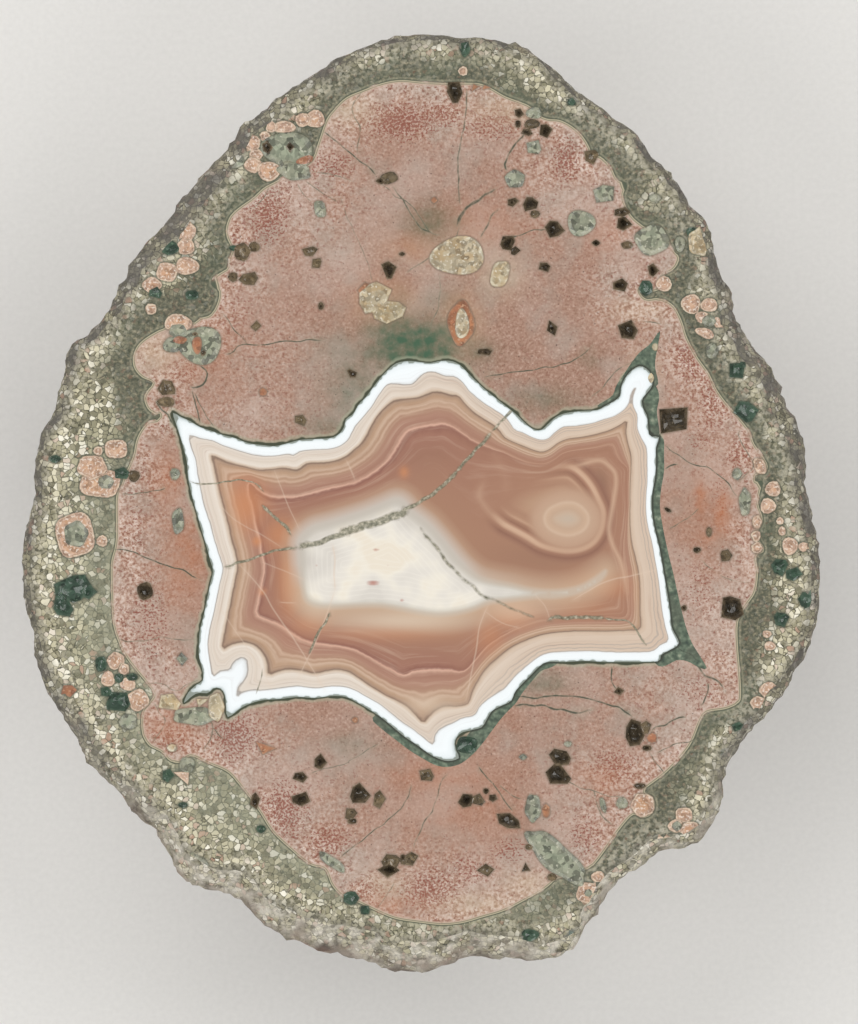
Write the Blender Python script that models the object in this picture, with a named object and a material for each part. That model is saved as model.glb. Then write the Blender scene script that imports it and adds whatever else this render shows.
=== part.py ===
"""Half of an agate nodule: a rounded warty stone, sawn once and polished on the cut.

Metres, +Z up. The polished cut looks straight up, level, with its long way along Y. The stone
lies on a small worn flat in the middle of its rough round back, and the origin is under the
middle of its outline, at the height of that flat.
"""
import math
import random

import bmesh
import bpy
from mathutils import Vector, noise

# Driving dimensions
FACE_LENGTH = 0.1042  # the stone along Y, over its rough rim
DEPTH = 0.042  # from the polished cut down to the resting flat
FLAT_DEPTH = 0.0012  # how much of the round back the resting flat takes off
BACK_FULLNESS = 0.9  # under 1 the back is fuller than an ellipsoid
SMOOTH_SPAN = math.radians(13)  # rim notches blur over this much of the turn on the way down

# The rim of the cut, clockwise from the top, in pixels of the reference picture
RIM_PX = (
    (393, 33), (418, 32), (443, 31), (458, 35), (481, 32), (500, 39), (520, 44), (539, 54),
    (555, 68), (580, 93), (591, 100), (602, 103), (614, 118), (635, 129), (643, 142),
    (658, 160), (668, 165), (674, 177), (683, 186), (690, 204), (707, 219), (714, 242),
    (718, 270), (727, 283), (732, 294), (734, 316), (741, 326), (755, 349), (775, 371),
    (782, 388), (786, 409), (797, 419), (803, 447), (809, 462), (807, 487), (815, 520),
    (820, 546), (823, 575), (819, 621), (814, 637), (806, 659), (799, 669), (787, 689),
    (777, 696), (767, 717), (756, 726), (735, 757), (726, 773), (725, 801), (722, 816),
    (712, 828), (710, 837), (696, 848), (678, 851), (660, 853), (635, 875), (614, 887),
    (603, 901), (597, 914), (587, 925), (586, 939), (576, 953), (565, 959), (549, 965),
    (516, 961), (494, 961), (469, 959), (451, 965), (435, 973), (422, 976), (402, 975),
    (388, 978), (371, 967), (347, 960), (320, 954), (300, 947), (279, 939), (251, 922),
    (247, 912), (227, 896), (203, 891), (188, 884), (173, 872), (166, 854), (158, 841),
    (153, 829), (138, 821), (118, 794), (108, 789), (100, 778), (82, 753), (75, 736),
    (55, 707), (46, 692), (42, 679), (31, 647), (26, 621), (20, 586), (20, 560), (22, 543),
    (30, 513), (33, 490), (33, 462), (36, 436), (42, 427), (53, 417), (54, 403), (65, 368),
    (68, 346), (84, 334), (96, 322), (109, 304), (116, 288), (124, 279), (130, 258),
    (140, 250), (170, 213), (200, 177), (236, 137), (246, 119), (273, 100), (284, 87),
    (315, 70), (342, 54), (359, 45),
)

# Where the rim is broken away: direction in degrees, width and drop of the slope in mm
RIM_SLOPES = (
    (0, 1.2, 0.8), (22, 1.8, 1.2), (45, 0.9, 0.6), (75, 0.7, 0.5), (95, 0.8, 0.5),
    (112, 1.6, 1.0), (128, 2.4, 1.4), (140, 1.6, 1.0), (160, 0.8, 0.5), (185, 1.0, 0.6),
    (205, 0.9, 0.7), (224, 1.8, 2.0), (238, 2.6, 2.0), (250, 3.0, 2.2), (264, 3.8, 2.8),
    (278, 2.8, 2.2), (292, 1.6, 1.2), (309, 1.8, 1.5), (330, 0.9, 0.6), (345, 1.0, 0.7),
)

# Knobs of the back that show past the rim from above: direction, half width, reach in mm
SIDE_KNOBS = ((104, 5.0, 1.2), (77, 4.0, 0.9), (183.5, 2.5, 0.9), (30, 4.5, 0.9))
SIDE_KNOB_DEPTH = 0.0065  # how far below the cut such a knob stands out most
SIDE_KNOB_SPREAD = 0.0045

# Relief of the back, in metres: wave length and height of each kind of lump
BROAD_LUMP, BROAD_HEIGHT = 0.019, 0.0030
WART, WART_HEIGHT = 0.0105, 0.0021
CRUMB, CRUMB_HEIGHT = 0.0048, 0.0005
BOSS_COUNT = 9  # the largest rounded bosses
BOSS_HEIGHT = (0.0014, 0.0030)
BOSS_RADIUS = (0.007, 0.012)
BOSS_SEED = 23
RELIEF_SINK = 0.0016  # the lumps stand on a surface this far inside the even form

BACK_ROWS = 23  # rings of the mesh from the rim to the resting flat
LAST_ROW_ANGLE = math.radians(84)
RIM_SHAPE_ENDS = math.radians(14)  # how far down the notches of the rim can be felt
STONE_COLOUR = (0.42, 0.31, 0.26, 1.0)


def clear_scene():
    """Start from nothing."""
    for old in list(bpy.data.objects):
        bpy.data.objects.remove(old, do_unlink=True)


def smoothstep(low, high, value):
    """Ease from 0 at low to 1 at high."""
    share = min(1.0, max(0.0, (value - low) / (high - low)))
    return share * share * (3.0 - 2.0 * share)


def rim_polar():
    """Give the rim as (direction, radius) pairs in metres about the outline's middle."""
    columns = [x for x, _ in RIM_PX]
    rows = [y for _, y in RIM_PX]
    metres_per_px = FACE_LENGTH / (max(rows) - min(rows))
    middle_x = (max(columns) + min(columns)) / 2
    middle_y = (max(rows) + min(rows)) / 2
    polar = []
    for x, y in RIM_PX:
        east = (x - middle_x) * metres_per_px
        north = (middle_y - y) * metres_per_px
        polar.append((math.atan2(north, east) % math.tau, math.hypot(east, north)))
    return sorted(polar)


def smoothed_radius(polar, direction):
    """Average the rim's radius over a span of the turn, weighting what is near most."""
    total = 0.0
    weight_sum = 0.0
    for other, radius in polar:
        apart = abs((other - direction + math.pi) % math.tau - math.pi)
        weight = math.exp(-((apart / SMOOTH_SPAN) ** 2))
        total += weight * radius
        weight_sum += weight
    return total / weight_sum


def slope_at(direction):
    """Give the width and the drop of the broken rim in one direction, in metres."""
    degrees = math.degrees(direction) % 360
    closed = RIM_SLOPES + ((RIM_SLOPES[0][0] + 360, *RIM_SLOPES[0][1:]),)
    for (start, width_a, drop_a), (end, width_b, drop_b) in zip(closed, closed[1:]):
        if start <= degrees <= end:
            share = (degrees - start) / (end - start)
            width = width_a + (width_b - width_a) * share
            drop = drop_a + (drop_b - drop_a) * share
            return width / 1000, drop / 1000
    return closed[0][1] / 1000, closed[0][2] / 1000


def knob_reach(direction, height):
    """Give how far the side knobs stand out past the rim at one direction and height."""
    degrees = math.degrees(direction)
    level = math.exp(-(((DEPTH - height - SIDE_KNOB_DEPTH) / SIDE_KNOB_SPREAD) ** 2))
    reach = 0.0
    for middle, half_width, out in SIDE_KNOBS:
        apart = abs((degrees - middle + 180) % 360 - 180)
        reach += out / 1000 * math.exp(-((apart / half_width) ** 2)) * level
    return reach


def make_bosses():
    """Choose where the largest bosses of the back sit."""
    dice = random.Random(BOSS_SEED)
    bosses = []
    for index in range(BOSS_COUNT):
        turn = math.tau * (index + dice.uniform(-0.3, 0.3)) / BOSS_COUNT
        out = dice.uniform(0.022, 0.040)
        place = Vector((math.cos(turn) * out, math.sin(turn) * out, dice.uniform(0.006, 0.026)))
        bosses.append((place, dice.uniform(*BOSS_RADIUS), dice.uniform(*BOSS_HEIGHT)))
    return bosses


def relief(point, bosses):
    """Give how far the back's lumps raise the surface at one point."""
    height = BROAD_HEIGHT * noise.noise(point / BROAD_LUMP) - RELIEF_SINK
    to_wart = noise.voronoi(point / WART)[0][0]
    height += WART_HEIGHT * (0.6 - min(1.0, to_wart * 1.3) ** 2)
    height += CRUMB_HEIGHT * noise.noise(point / CRUMB)
    for place, radius, boss_height in bosses:
        height += boss_height * math.exp(-(((point - place).length / radius) ** 2))
    return height


def back_point(direction, rim_radius, even_radius, row, bosses):
    """Give one point of the rough back, row 0 lying on the stone's widest line."""
    turn_down = LAST_ROW_ANGLE * row / (BACK_ROWS - 1)
    shoulder = DEPTH - slope_at(direction)[1]
    radius = rim_radius + (even_radius - rim_radius) * smoothstep(0.0, RIM_SHAPE_ENDS, turn_down)
    reach = radius * math.cos(turn_down) ** BACK_FULLNESS
    height = shoulder - (shoulder + FLAT_DEPTH) * math.sin(turn_down)
    heading = Vector((math.cos(direction), math.sin(direction), 0.0))
    point = heading * reach + Vector((0.0, 0.0, height))
    outward = heading * math.cos(turn_down) - Vector((0.0, 0.0, math.sin(turn_down)))
    lumps_fade_in = smoothstep(0.0, math.radians(9), turn_down)
    lumps_fade_out = 1.0 - smoothstep(math.radians(64), math.radians(80), turn_down)
    point += outward * relief(point, bosses) * lumps_fade_in * lumps_fade_out
    knob = knob_reach(direction, point.z) * lumps_fade_in
    point += heading * knob
    along = Vector((point.x, point.y)).length
    widest = rim_radius + knob
    if along > widest:
        point.x *= widest / along
        point.y *= widest / along
    point.z = max(0.0, point.z)
    return point


def build_nodule_mesh():
    """Build the closed stone: polished cut, broken rim, rough back and resting flat."""
    polar = rim_polar()
    bosses = make_bosses()
    mesh = bmesh.new()
    rings = []
    cut_ring = []
    for direction, radius in polar:
        reach = radius - slope_at(direction)[0]
        place = (math.cos(direction) * reach, math.sin(direction) * reach, DEPTH)
        cut_ring.append(mesh.verts.new(place))
    rings.append(cut_ring)
    even_radii = [smoothed_radius(polar, direction) for direction, _ in polar]
    for row in range(BACK_ROWS):
        ring = []
        for (direction, radius), even in zip(polar, even_radii):
            ring.append(mesh.verts.new(back_point(direction, radius, even, row, bosses)))
        rings.append(ring)
    count = len(polar)
    for upper, lower in zip(rings, rings[1:]):
        for index in range(count):
            after = (index + 1) % count
            mesh.faces.new((upper[index], lower[index], lower[after], upper[after]))
    mesh.faces.new(cut_ring)
    mesh.faces.new(list(reversed(rings[-1])))
    bmesh.ops.triangulate(mesh, faces=mesh.faces[:])
    bmesh.ops.recalc_face_normals(mesh, faces=mesh.faces[:])
    return mesh


def make_stone_material():
    """Make the stone's plain finish: pinkish rhyolite with a polished cut."""
    material = bpy.data.materials.new("agate_in_rhyolite")
    material.use_nodes = True
    shader = material.node_tree.nodes["Principled BSDF"]
    shader.inputs["Base Color"].default_value = STONE_COLOUR
    shader.inputs["Roughness"].default_value = 0.4
    shader.inputs["Metallic"].default_value = 0.0
    return material


def make_agate_nodule():
    """Make the whole stone as one object."""
    mesh = build_nodule_mesh()
    data = bpy.data.meshes.new("agate_nodule")
    mesh.to_mesh(data)
    mesh.free()
    data.shade_smooth()
    data.set_sharp_from_angle(angle=math.radians(35))
    data.materials.append(make_stone_material())
    stone = bpy.data.objects.new("agate_nodule", data)
    bpy.context.scene.collection.objects.link(stone)
    return stone


clear_scene()
make_agate_nodule()
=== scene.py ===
"""Looks of half an agate nodule, sawn and polished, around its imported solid.

The cut face is drawn as one fine triangle mesh whose edges follow the lines that are seen on the
stone: the wall of the agate star, its bands, the rhyolite body, cracks, crystals and spherulites.
Each line also leaves a distance at the mesh points, and the finishes read those distances.
Millimetres on the face, metres in the meshes.
"""
import logging
import math
import random
from dataclasses import dataclass, field
from enum import Enum
from typing import Iterable, Sequence

import bmesh
import bpy
import numpy as np
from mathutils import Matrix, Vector, noise
from mathutils.bvhtree import BVHTree
from mathutils.geometry import delaunay_2d_cdt


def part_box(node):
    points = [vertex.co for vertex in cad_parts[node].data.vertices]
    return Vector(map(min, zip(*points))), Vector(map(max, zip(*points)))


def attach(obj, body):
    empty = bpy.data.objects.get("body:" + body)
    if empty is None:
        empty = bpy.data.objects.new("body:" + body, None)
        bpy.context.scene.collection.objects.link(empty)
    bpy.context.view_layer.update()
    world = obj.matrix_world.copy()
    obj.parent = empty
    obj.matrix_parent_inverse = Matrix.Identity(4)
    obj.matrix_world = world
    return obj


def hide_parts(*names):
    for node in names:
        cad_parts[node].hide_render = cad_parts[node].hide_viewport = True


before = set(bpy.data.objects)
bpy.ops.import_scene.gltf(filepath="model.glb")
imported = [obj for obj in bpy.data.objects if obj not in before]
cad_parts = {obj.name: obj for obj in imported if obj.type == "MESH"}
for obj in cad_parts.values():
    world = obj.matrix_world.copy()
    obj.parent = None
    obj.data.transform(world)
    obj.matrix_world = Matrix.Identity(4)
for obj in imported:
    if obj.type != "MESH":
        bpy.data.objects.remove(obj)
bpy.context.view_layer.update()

LOG = logging.getLogger("agate_nodule")
Points = Sequence[float]  # x and y of one point after the other

NODE = "agate_nodule"
BODY = "root"
MM = 0.001

# The reference picture: its size, and the stone's outline in it, in pixels
PICTURE_SIZE = (858, 1024)
STONE_LEFT, STONE_RIGHT = 20, 823
STONE_TOP, STONE_BOTTOM = 31, 978

# What is seen on the cut: x and y in pixels of the picture, point after point

# The wall of the agate star, clockwise from its upper left tip
STAR_WALL = (
    173, 413, 181, 417, 190, 421, 200, 427, 212, 431, 223, 435, 235, 438, 248, 443, 262, 445, 275, 446,
    288, 443, 300, 440, 315, 439, 330, 438, 339, 434, 344, 427, 346, 419, 353, 414, 359, 404, 366, 397,
    374, 386, 382, 376, 390, 368, 397, 363, 408, 361, 420, 362, 430, 363, 440, 361, 451, 361, 460, 365,
    468, 373, 477, 382, 487, 391, 497, 399, 507, 407, 517, 415, 525, 423, 533, 429, 541, 430, 548, 424,
    556, 417, 566, 413, 582, 411, 597, 410, 605, 406, 614, 401, 620, 396, 621, 388, 624, 380, 629, 373,
    635, 368, 641, 366, 648, 370, 652, 377, 652, 386, 646, 394, 642, 400, 643, 408, 647, 416, 648, 426,
    650, 436, 659, 437, 656, 448, 656, 462, 655, 478, 652, 495, 652, 512, 655, 530, 659, 546, 662, 562,
    665, 580, 668, 597, 670, 612, 672, 628, 679, 643, 670, 650, 661, 655, 659, 661, 645, 662, 625, 662,
    605, 662, 585, 661, 565, 662, 548, 662, 540, 666, 531, 675, 522, 684, 515, 692, 511, 701, 501, 706,
    492, 711, 487, 719, 482, 727, 472, 730, 461, 733, 455, 741, 456, 750, 459, 758, 448, 761, 437, 758,
    428, 753, 417, 745, 405, 737, 394, 728, 382, 718, 370, 710, 358, 703, 346, 697, 332, 696, 315, 698,
    298, 697, 280, 699, 264, 700, 252, 703, 241, 708, 228, 717, 226, 706, 225, 696, 221, 689, 214, 688,
    208, 693, 198, 693, 191, 697, 184, 703, 188, 693, 196, 685, 203, 680, 202, 668, 199, 656, 199, 643,
    200, 630, 204, 614, 207, 599, 210, 585, 213, 571, 210, 560, 207, 548, 203, 535, 199, 521, 195, 507,
    191, 492, 188, 477, 187, 463, 184, 450, 180, 436, 176, 424,
)

# Inner edge of the white band, drawn on the stone as a thin grey line
WHITE_EDGE = (
    190, 436, 202, 439, 213, 441, 224, 446, 237, 450, 250, 454, 263, 456, 276, 456, 287, 454, 294, 455,
    302, 451, 315, 450, 330, 449, 340, 446, 348, 440, 352, 432, 357, 424, 365, 415, 372, 406, 379, 395,
    387, 385, 395, 384, 404, 385, 413, 384, 420, 377, 427, 372, 435, 372, 445, 376, 455, 377, 462, 382,
    469, 391, 478, 399, 488, 406, 498, 412, 506, 418, 511, 425, 515, 430, 523, 433, 531, 437, 540, 440,
    548, 439, 556, 432, 564, 427, 576, 426, 590, 424, 603, 420, 615, 416, 624, 410, 629, 403, 631, 394,
    636, 387, 633, 396, 633, 406, 637, 415, 637, 428, 641, 438, 646, 448, 647, 462, 647, 480, 646, 497,
    646, 512, 648, 527, 652, 543, 655, 560, 658, 577, 660, 593, 662, 610, 665, 626, 668, 640, 660, 645,
    652, 651, 635, 652, 615, 652, 595, 651, 575, 651, 555, 652, 544, 654, 535, 659, 525, 667, 514, 677,
    506, 687, 497, 693, 488, 699, 480, 706, 474, 715, 462, 718, 452, 723, 441, 728, 435, 735, 433, 744,
    424, 738, 413, 729, 402, 722, 391, 713, 380, 704, 369, 698, 357, 691, 346, 687, 332, 686, 315, 688,
    298, 686, 280, 688, 262, 690, 250, 690, 241, 693, 237, 697, 238, 688, 242, 683, 247, 676, 248, 667,
    246, 659, 239, 658, 232, 664, 229, 670, 220, 671, 213, 676, 211, 668, 209, 655, 208, 642, 210, 628,
    214, 612, 217, 597, 220, 583, 223, 570, 221, 560, 217, 548, 213, 534, 209, 520, 204, 505, 201, 490,
    198, 475, 196, 460, 191, 447,
)

# Inner edge of the cream band, drawn on the stone as a thin brown line
CREAM_EDGE = (
    212, 456, 222, 460, 233, 464, 245, 467, 258, 470, 270, 470, 283, 468, 297, 470, 306, 464, 318, 463,
    332, 462, 343, 458, 353, 451, 361, 444, 367, 435, 372, 425, 379, 414, 388, 405, 396, 400, 408, 399,
    420, 397, 430, 393, 440, 392, 450, 395, 458, 396, 464, 403, 472, 411, 482, 418, 492, 424, 499, 430,
    504, 437, 513, 442, 523, 446, 533, 450, 542, 452, 550, 449, 558, 443, 568, 439, 582, 437, 597, 434,
    610, 430, 620, 425, 627, 421, 626, 432, 628, 444, 631, 455, 631, 468, 630, 485, 630, 505, 630, 525,
    632, 543, 636, 560, 639, 575, 640, 592, 640, 610, 640, 628, 628, 630, 612, 631, 595, 631, 578, 631,
    560, 632, 545, 634, 532, 638, 519, 643, 507, 650, 496, 659, 486, 668, 478, 680, 472, 692, 468, 703,
    458, 706, 445, 706, 436, 710, 429, 716, 423, 722, 416, 715, 408, 707, 398, 701, 386, 695, 374, 688,
    362, 680, 352, 673, 340, 669, 328, 670, 314, 673, 300, 670, 287, 669, 277, 671, 269, 674, 268, 664,
    264, 654, 257, 646, 248, 642, 240, 642, 231, 644, 223, 648, 224, 638, 227, 622, 230, 608, 233, 592,
    236, 578, 238, 566, 236, 554, 232, 540, 229, 525, 225, 510, 221, 496, 218, 482, 215, 468,
)

# The mauve line deep in the brown bands
MAUVE_LINE = (
    250, 484, 258, 492, 270, 499, 285, 500, 299, 499, 314, 495, 328, 491, 343, 488, 356, 485, 368, 479,
    380, 471, 390, 462, 397, 452, 403, 442, 410, 434, 420, 430, 432, 428, 443, 426, 452, 429, 461, 435,
    470, 441, 480, 446, 492, 450, 505, 454, 517, 460, 530, 464, 543, 465, 554, 461, 564, 454, 578, 451,
    595, 449, 611, 446, 615, 455, 621, 463, 627, 469, 627, 485, 627, 505, 625, 525, 623, 543, 623, 560,
    625, 577, 626, 595, 626, 615, 610, 617, 590, 617, 570, 617, 552, 618, 535, 621, 520, 626, 505, 633,
    492, 641, 482, 650, 473, 661, 463, 670, 450, 668, 435, 667, 420, 668, 410, 670, 402, 673, 393, 668,
    380, 661, 367, 654, 355, 648, 342, 645, 328, 643, 315, 641, 303, 637, 292, 630, 282, 623, 270, 618,
    259, 613, 261, 600, 264, 585, 267, 568, 264, 555, 262, 540, 258, 525, 255, 508, 251, 495,
)

# The opaque cream and grey middle of the agate
PALE_MIDDLE = (
    300, 541, 306, 533, 315, 527, 330, 523, 350, 517, 368, 511, 383, 505, 396, 500, 404, 503, 410, 511,
    418, 517, 428, 525, 438, 536, 448, 548, 458, 560, 468, 570, 480, 578, 495, 582, 512, 585, 530, 589,
    548, 591, 566, 590, 582, 586, 596, 578, 606, 571, 600, 580, 588, 588, 572, 594, 555, 597, 538, 597,
    520, 599, 503, 601, 488, 603, 474, 609, 458, 613, 440, 615, 420, 613, 400, 609, 380, 606, 360, 606,
    338, 607, 318, 606, 306, 600, 302, 585, 301, 568, 300, 554,
)

# The curled bands on the right: their outer light line and the pale core
CURL_LOOP = (
    572, 467, 583, 475, 592, 486, 598, 498, 603, 510, 603, 521, 600, 533, 593, 543, 582, 549, 568, 551,
    553, 549, 540, 545, 527, 537, 514, 530, 503, 524, 493, 515, 484, 505, 479, 494, 480, 482, 490, 474,
    505, 470, 525, 470, 545, 468, 560, 466,
)
CURL_CORE = (
    543, 517, 547, 509, 555, 504, 565, 501, 576, 502, 585, 508, 590, 517, 588, 527, 580, 534, 567, 537,
    553, 533, 545, 526,
)

# The pink rhyolite body, clockwise from its upper left
RHYOLITE_BODY = (
    332, 110, 345, 97, 363, 89, 382, 82, 401, 79, 425, 81, 449, 82, 477, 82, 491, 87, 505, 95, 518, 100,
    530, 105, 541, 115, 549, 118, 560, 119, 572, 125, 583, 135, 590, 146, 593, 154, 602, 156, 612, 167,
    618, 179, 627, 184, 624, 196, 627, 206, 633, 216, 641, 223, 648, 227, 658, 224, 665, 231, 670, 242,
    675, 251, 680, 256, 679, 264, 672, 272, 663, 276, 665, 284, 659, 291, 648, 293, 640, 290, 646, 298,
    658, 297, 669, 301, 676, 307, 683, 321, 688, 337, 698, 356, 710, 373, 717, 388, 727, 402, 739, 416,
    750, 430, 755, 443, 764, 456, 769, 466, 765, 474, 757, 475, 756, 481, 763, 481, 761, 492, 759, 503,
    762, 512, 764, 520, 761, 527, 758, 534, 760, 540, 765, 547, 764, 554, 757, 556, 759, 573, 756, 593,
    746, 608, 739, 623, 739, 646, 741, 671, 742, 696, 739, 704, 726, 710, 708, 713, 702, 720, 692, 744,
    678, 762, 665, 775, 649, 787, 645, 791, 652, 795, 656, 802, 655, 810, 650, 817, 641, 819, 633, 816,
    619, 832, 608, 848, 596, 864, 588, 870, 576, 872, 565, 878, 557, 880, 545, 890, 524, 902, 504, 912,
    484, 918, 463, 924, 443, 926, 422, 924, 396, 920, 378, 913, 359, 904, 343, 898, 331, 886, 324, 870,
    312, 867, 300, 859, 292, 852, 272, 833, 259, 813, 247, 796, 239, 786, 227, 773, 209, 765, 199, 760,
    190, 757, 182, 763, 175, 764, 168, 761, 161, 753, 148, 746, 141, 733, 141, 712, 148, 702, 153, 694,
    146, 684, 136, 672, 126, 659, 119, 646, 113, 629, 111, 613, 110, 588, 110, 563, 114, 546, 115, 530,
    115, 497, 120, 486, 125, 472, 132, 456, 135, 441, 140, 430, 148, 421, 157, 419, 160, 414, 154, 416,
    146, 408, 143, 397, 147, 389, 152, 383, 141, 378, 133, 368, 132, 357, 136, 346, 144, 338, 157, 330,
    166, 326, 168, 318, 178, 315, 188, 317, 193, 322, 200, 317, 208, 315, 213, 310, 217, 301, 218, 291,
    211, 285, 213, 277, 221, 271, 227, 267, 228, 258, 231, 250, 226, 238, 225, 228, 229, 216, 238, 207,
    252, 197, 263, 187, 276, 180, 290, 172, 310, 160, 318, 140, 325, 120,
)

# Green clay around the star, each patch partly under the agate
GREEN_PATCHES = (
    (650, 436, 663, 438, 664, 455, 664, 472, 661, 490, 660, 507, 662, 522, 665, 538, 669, 556, 673, 572,
     677, 590, 681, 608, 686, 627, 692, 643, 700, 656, 707, 669, 698, 667, 689, 662, 678, 660, 655, 663,
     640, 600, 640, 440),
    (640, 396, 652, 384, 658, 390, 659, 400, 657, 412, 659, 437, 645, 438, 640, 416),
    (660, 331, 657, 350, 655, 366, 658, 385, 645, 385, 640, 372, 628, 376, 618, 398, 606, 407, 597, 406,
     612, 396, 616, 386, 624, 374, 632, 362, 640, 352, 650, 344),
    (560, 660, 552, 667, 541, 671, 532, 681, 523, 692, 516, 703, 508, 711, 500, 720, 491, 732, 482, 744,
     472, 755, 460, 764, 447, 767, 435, 765, 422, 758, 409, 750, 396, 740, 383, 730, 372, 719, 384, 716,
     420, 740, 455, 745, 480, 720, 510, 690, 540, 660),
)


class StrokeKind(Enum):
    """What a line on the cut face is."""

    CRACK = "crack"  # a thin dark crack, healed with green clay
    VEIN = "vein"  # a broad healed crack through the agate
    SCRATCH = "scratch"  # a fine pale line in the agate
    GLOW = "glow"  # a soft light band


@dataclass(frozen=True)
class Stroke:
    """A line on the cut face: its kind, half width in mm, strength and course in pixels."""

    kind: StrokeKind
    half_width: float
    strength: float
    course: Points


CRACK, VEIN, SCRATCH, GLOW = StrokeKind

# How far each kind strays sideways from its smooth course, in mm
BENDS = {CRACK: 0.22, VEIN: 0.22, SCRATCH: 0.05, GLOW: 0.0}

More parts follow.
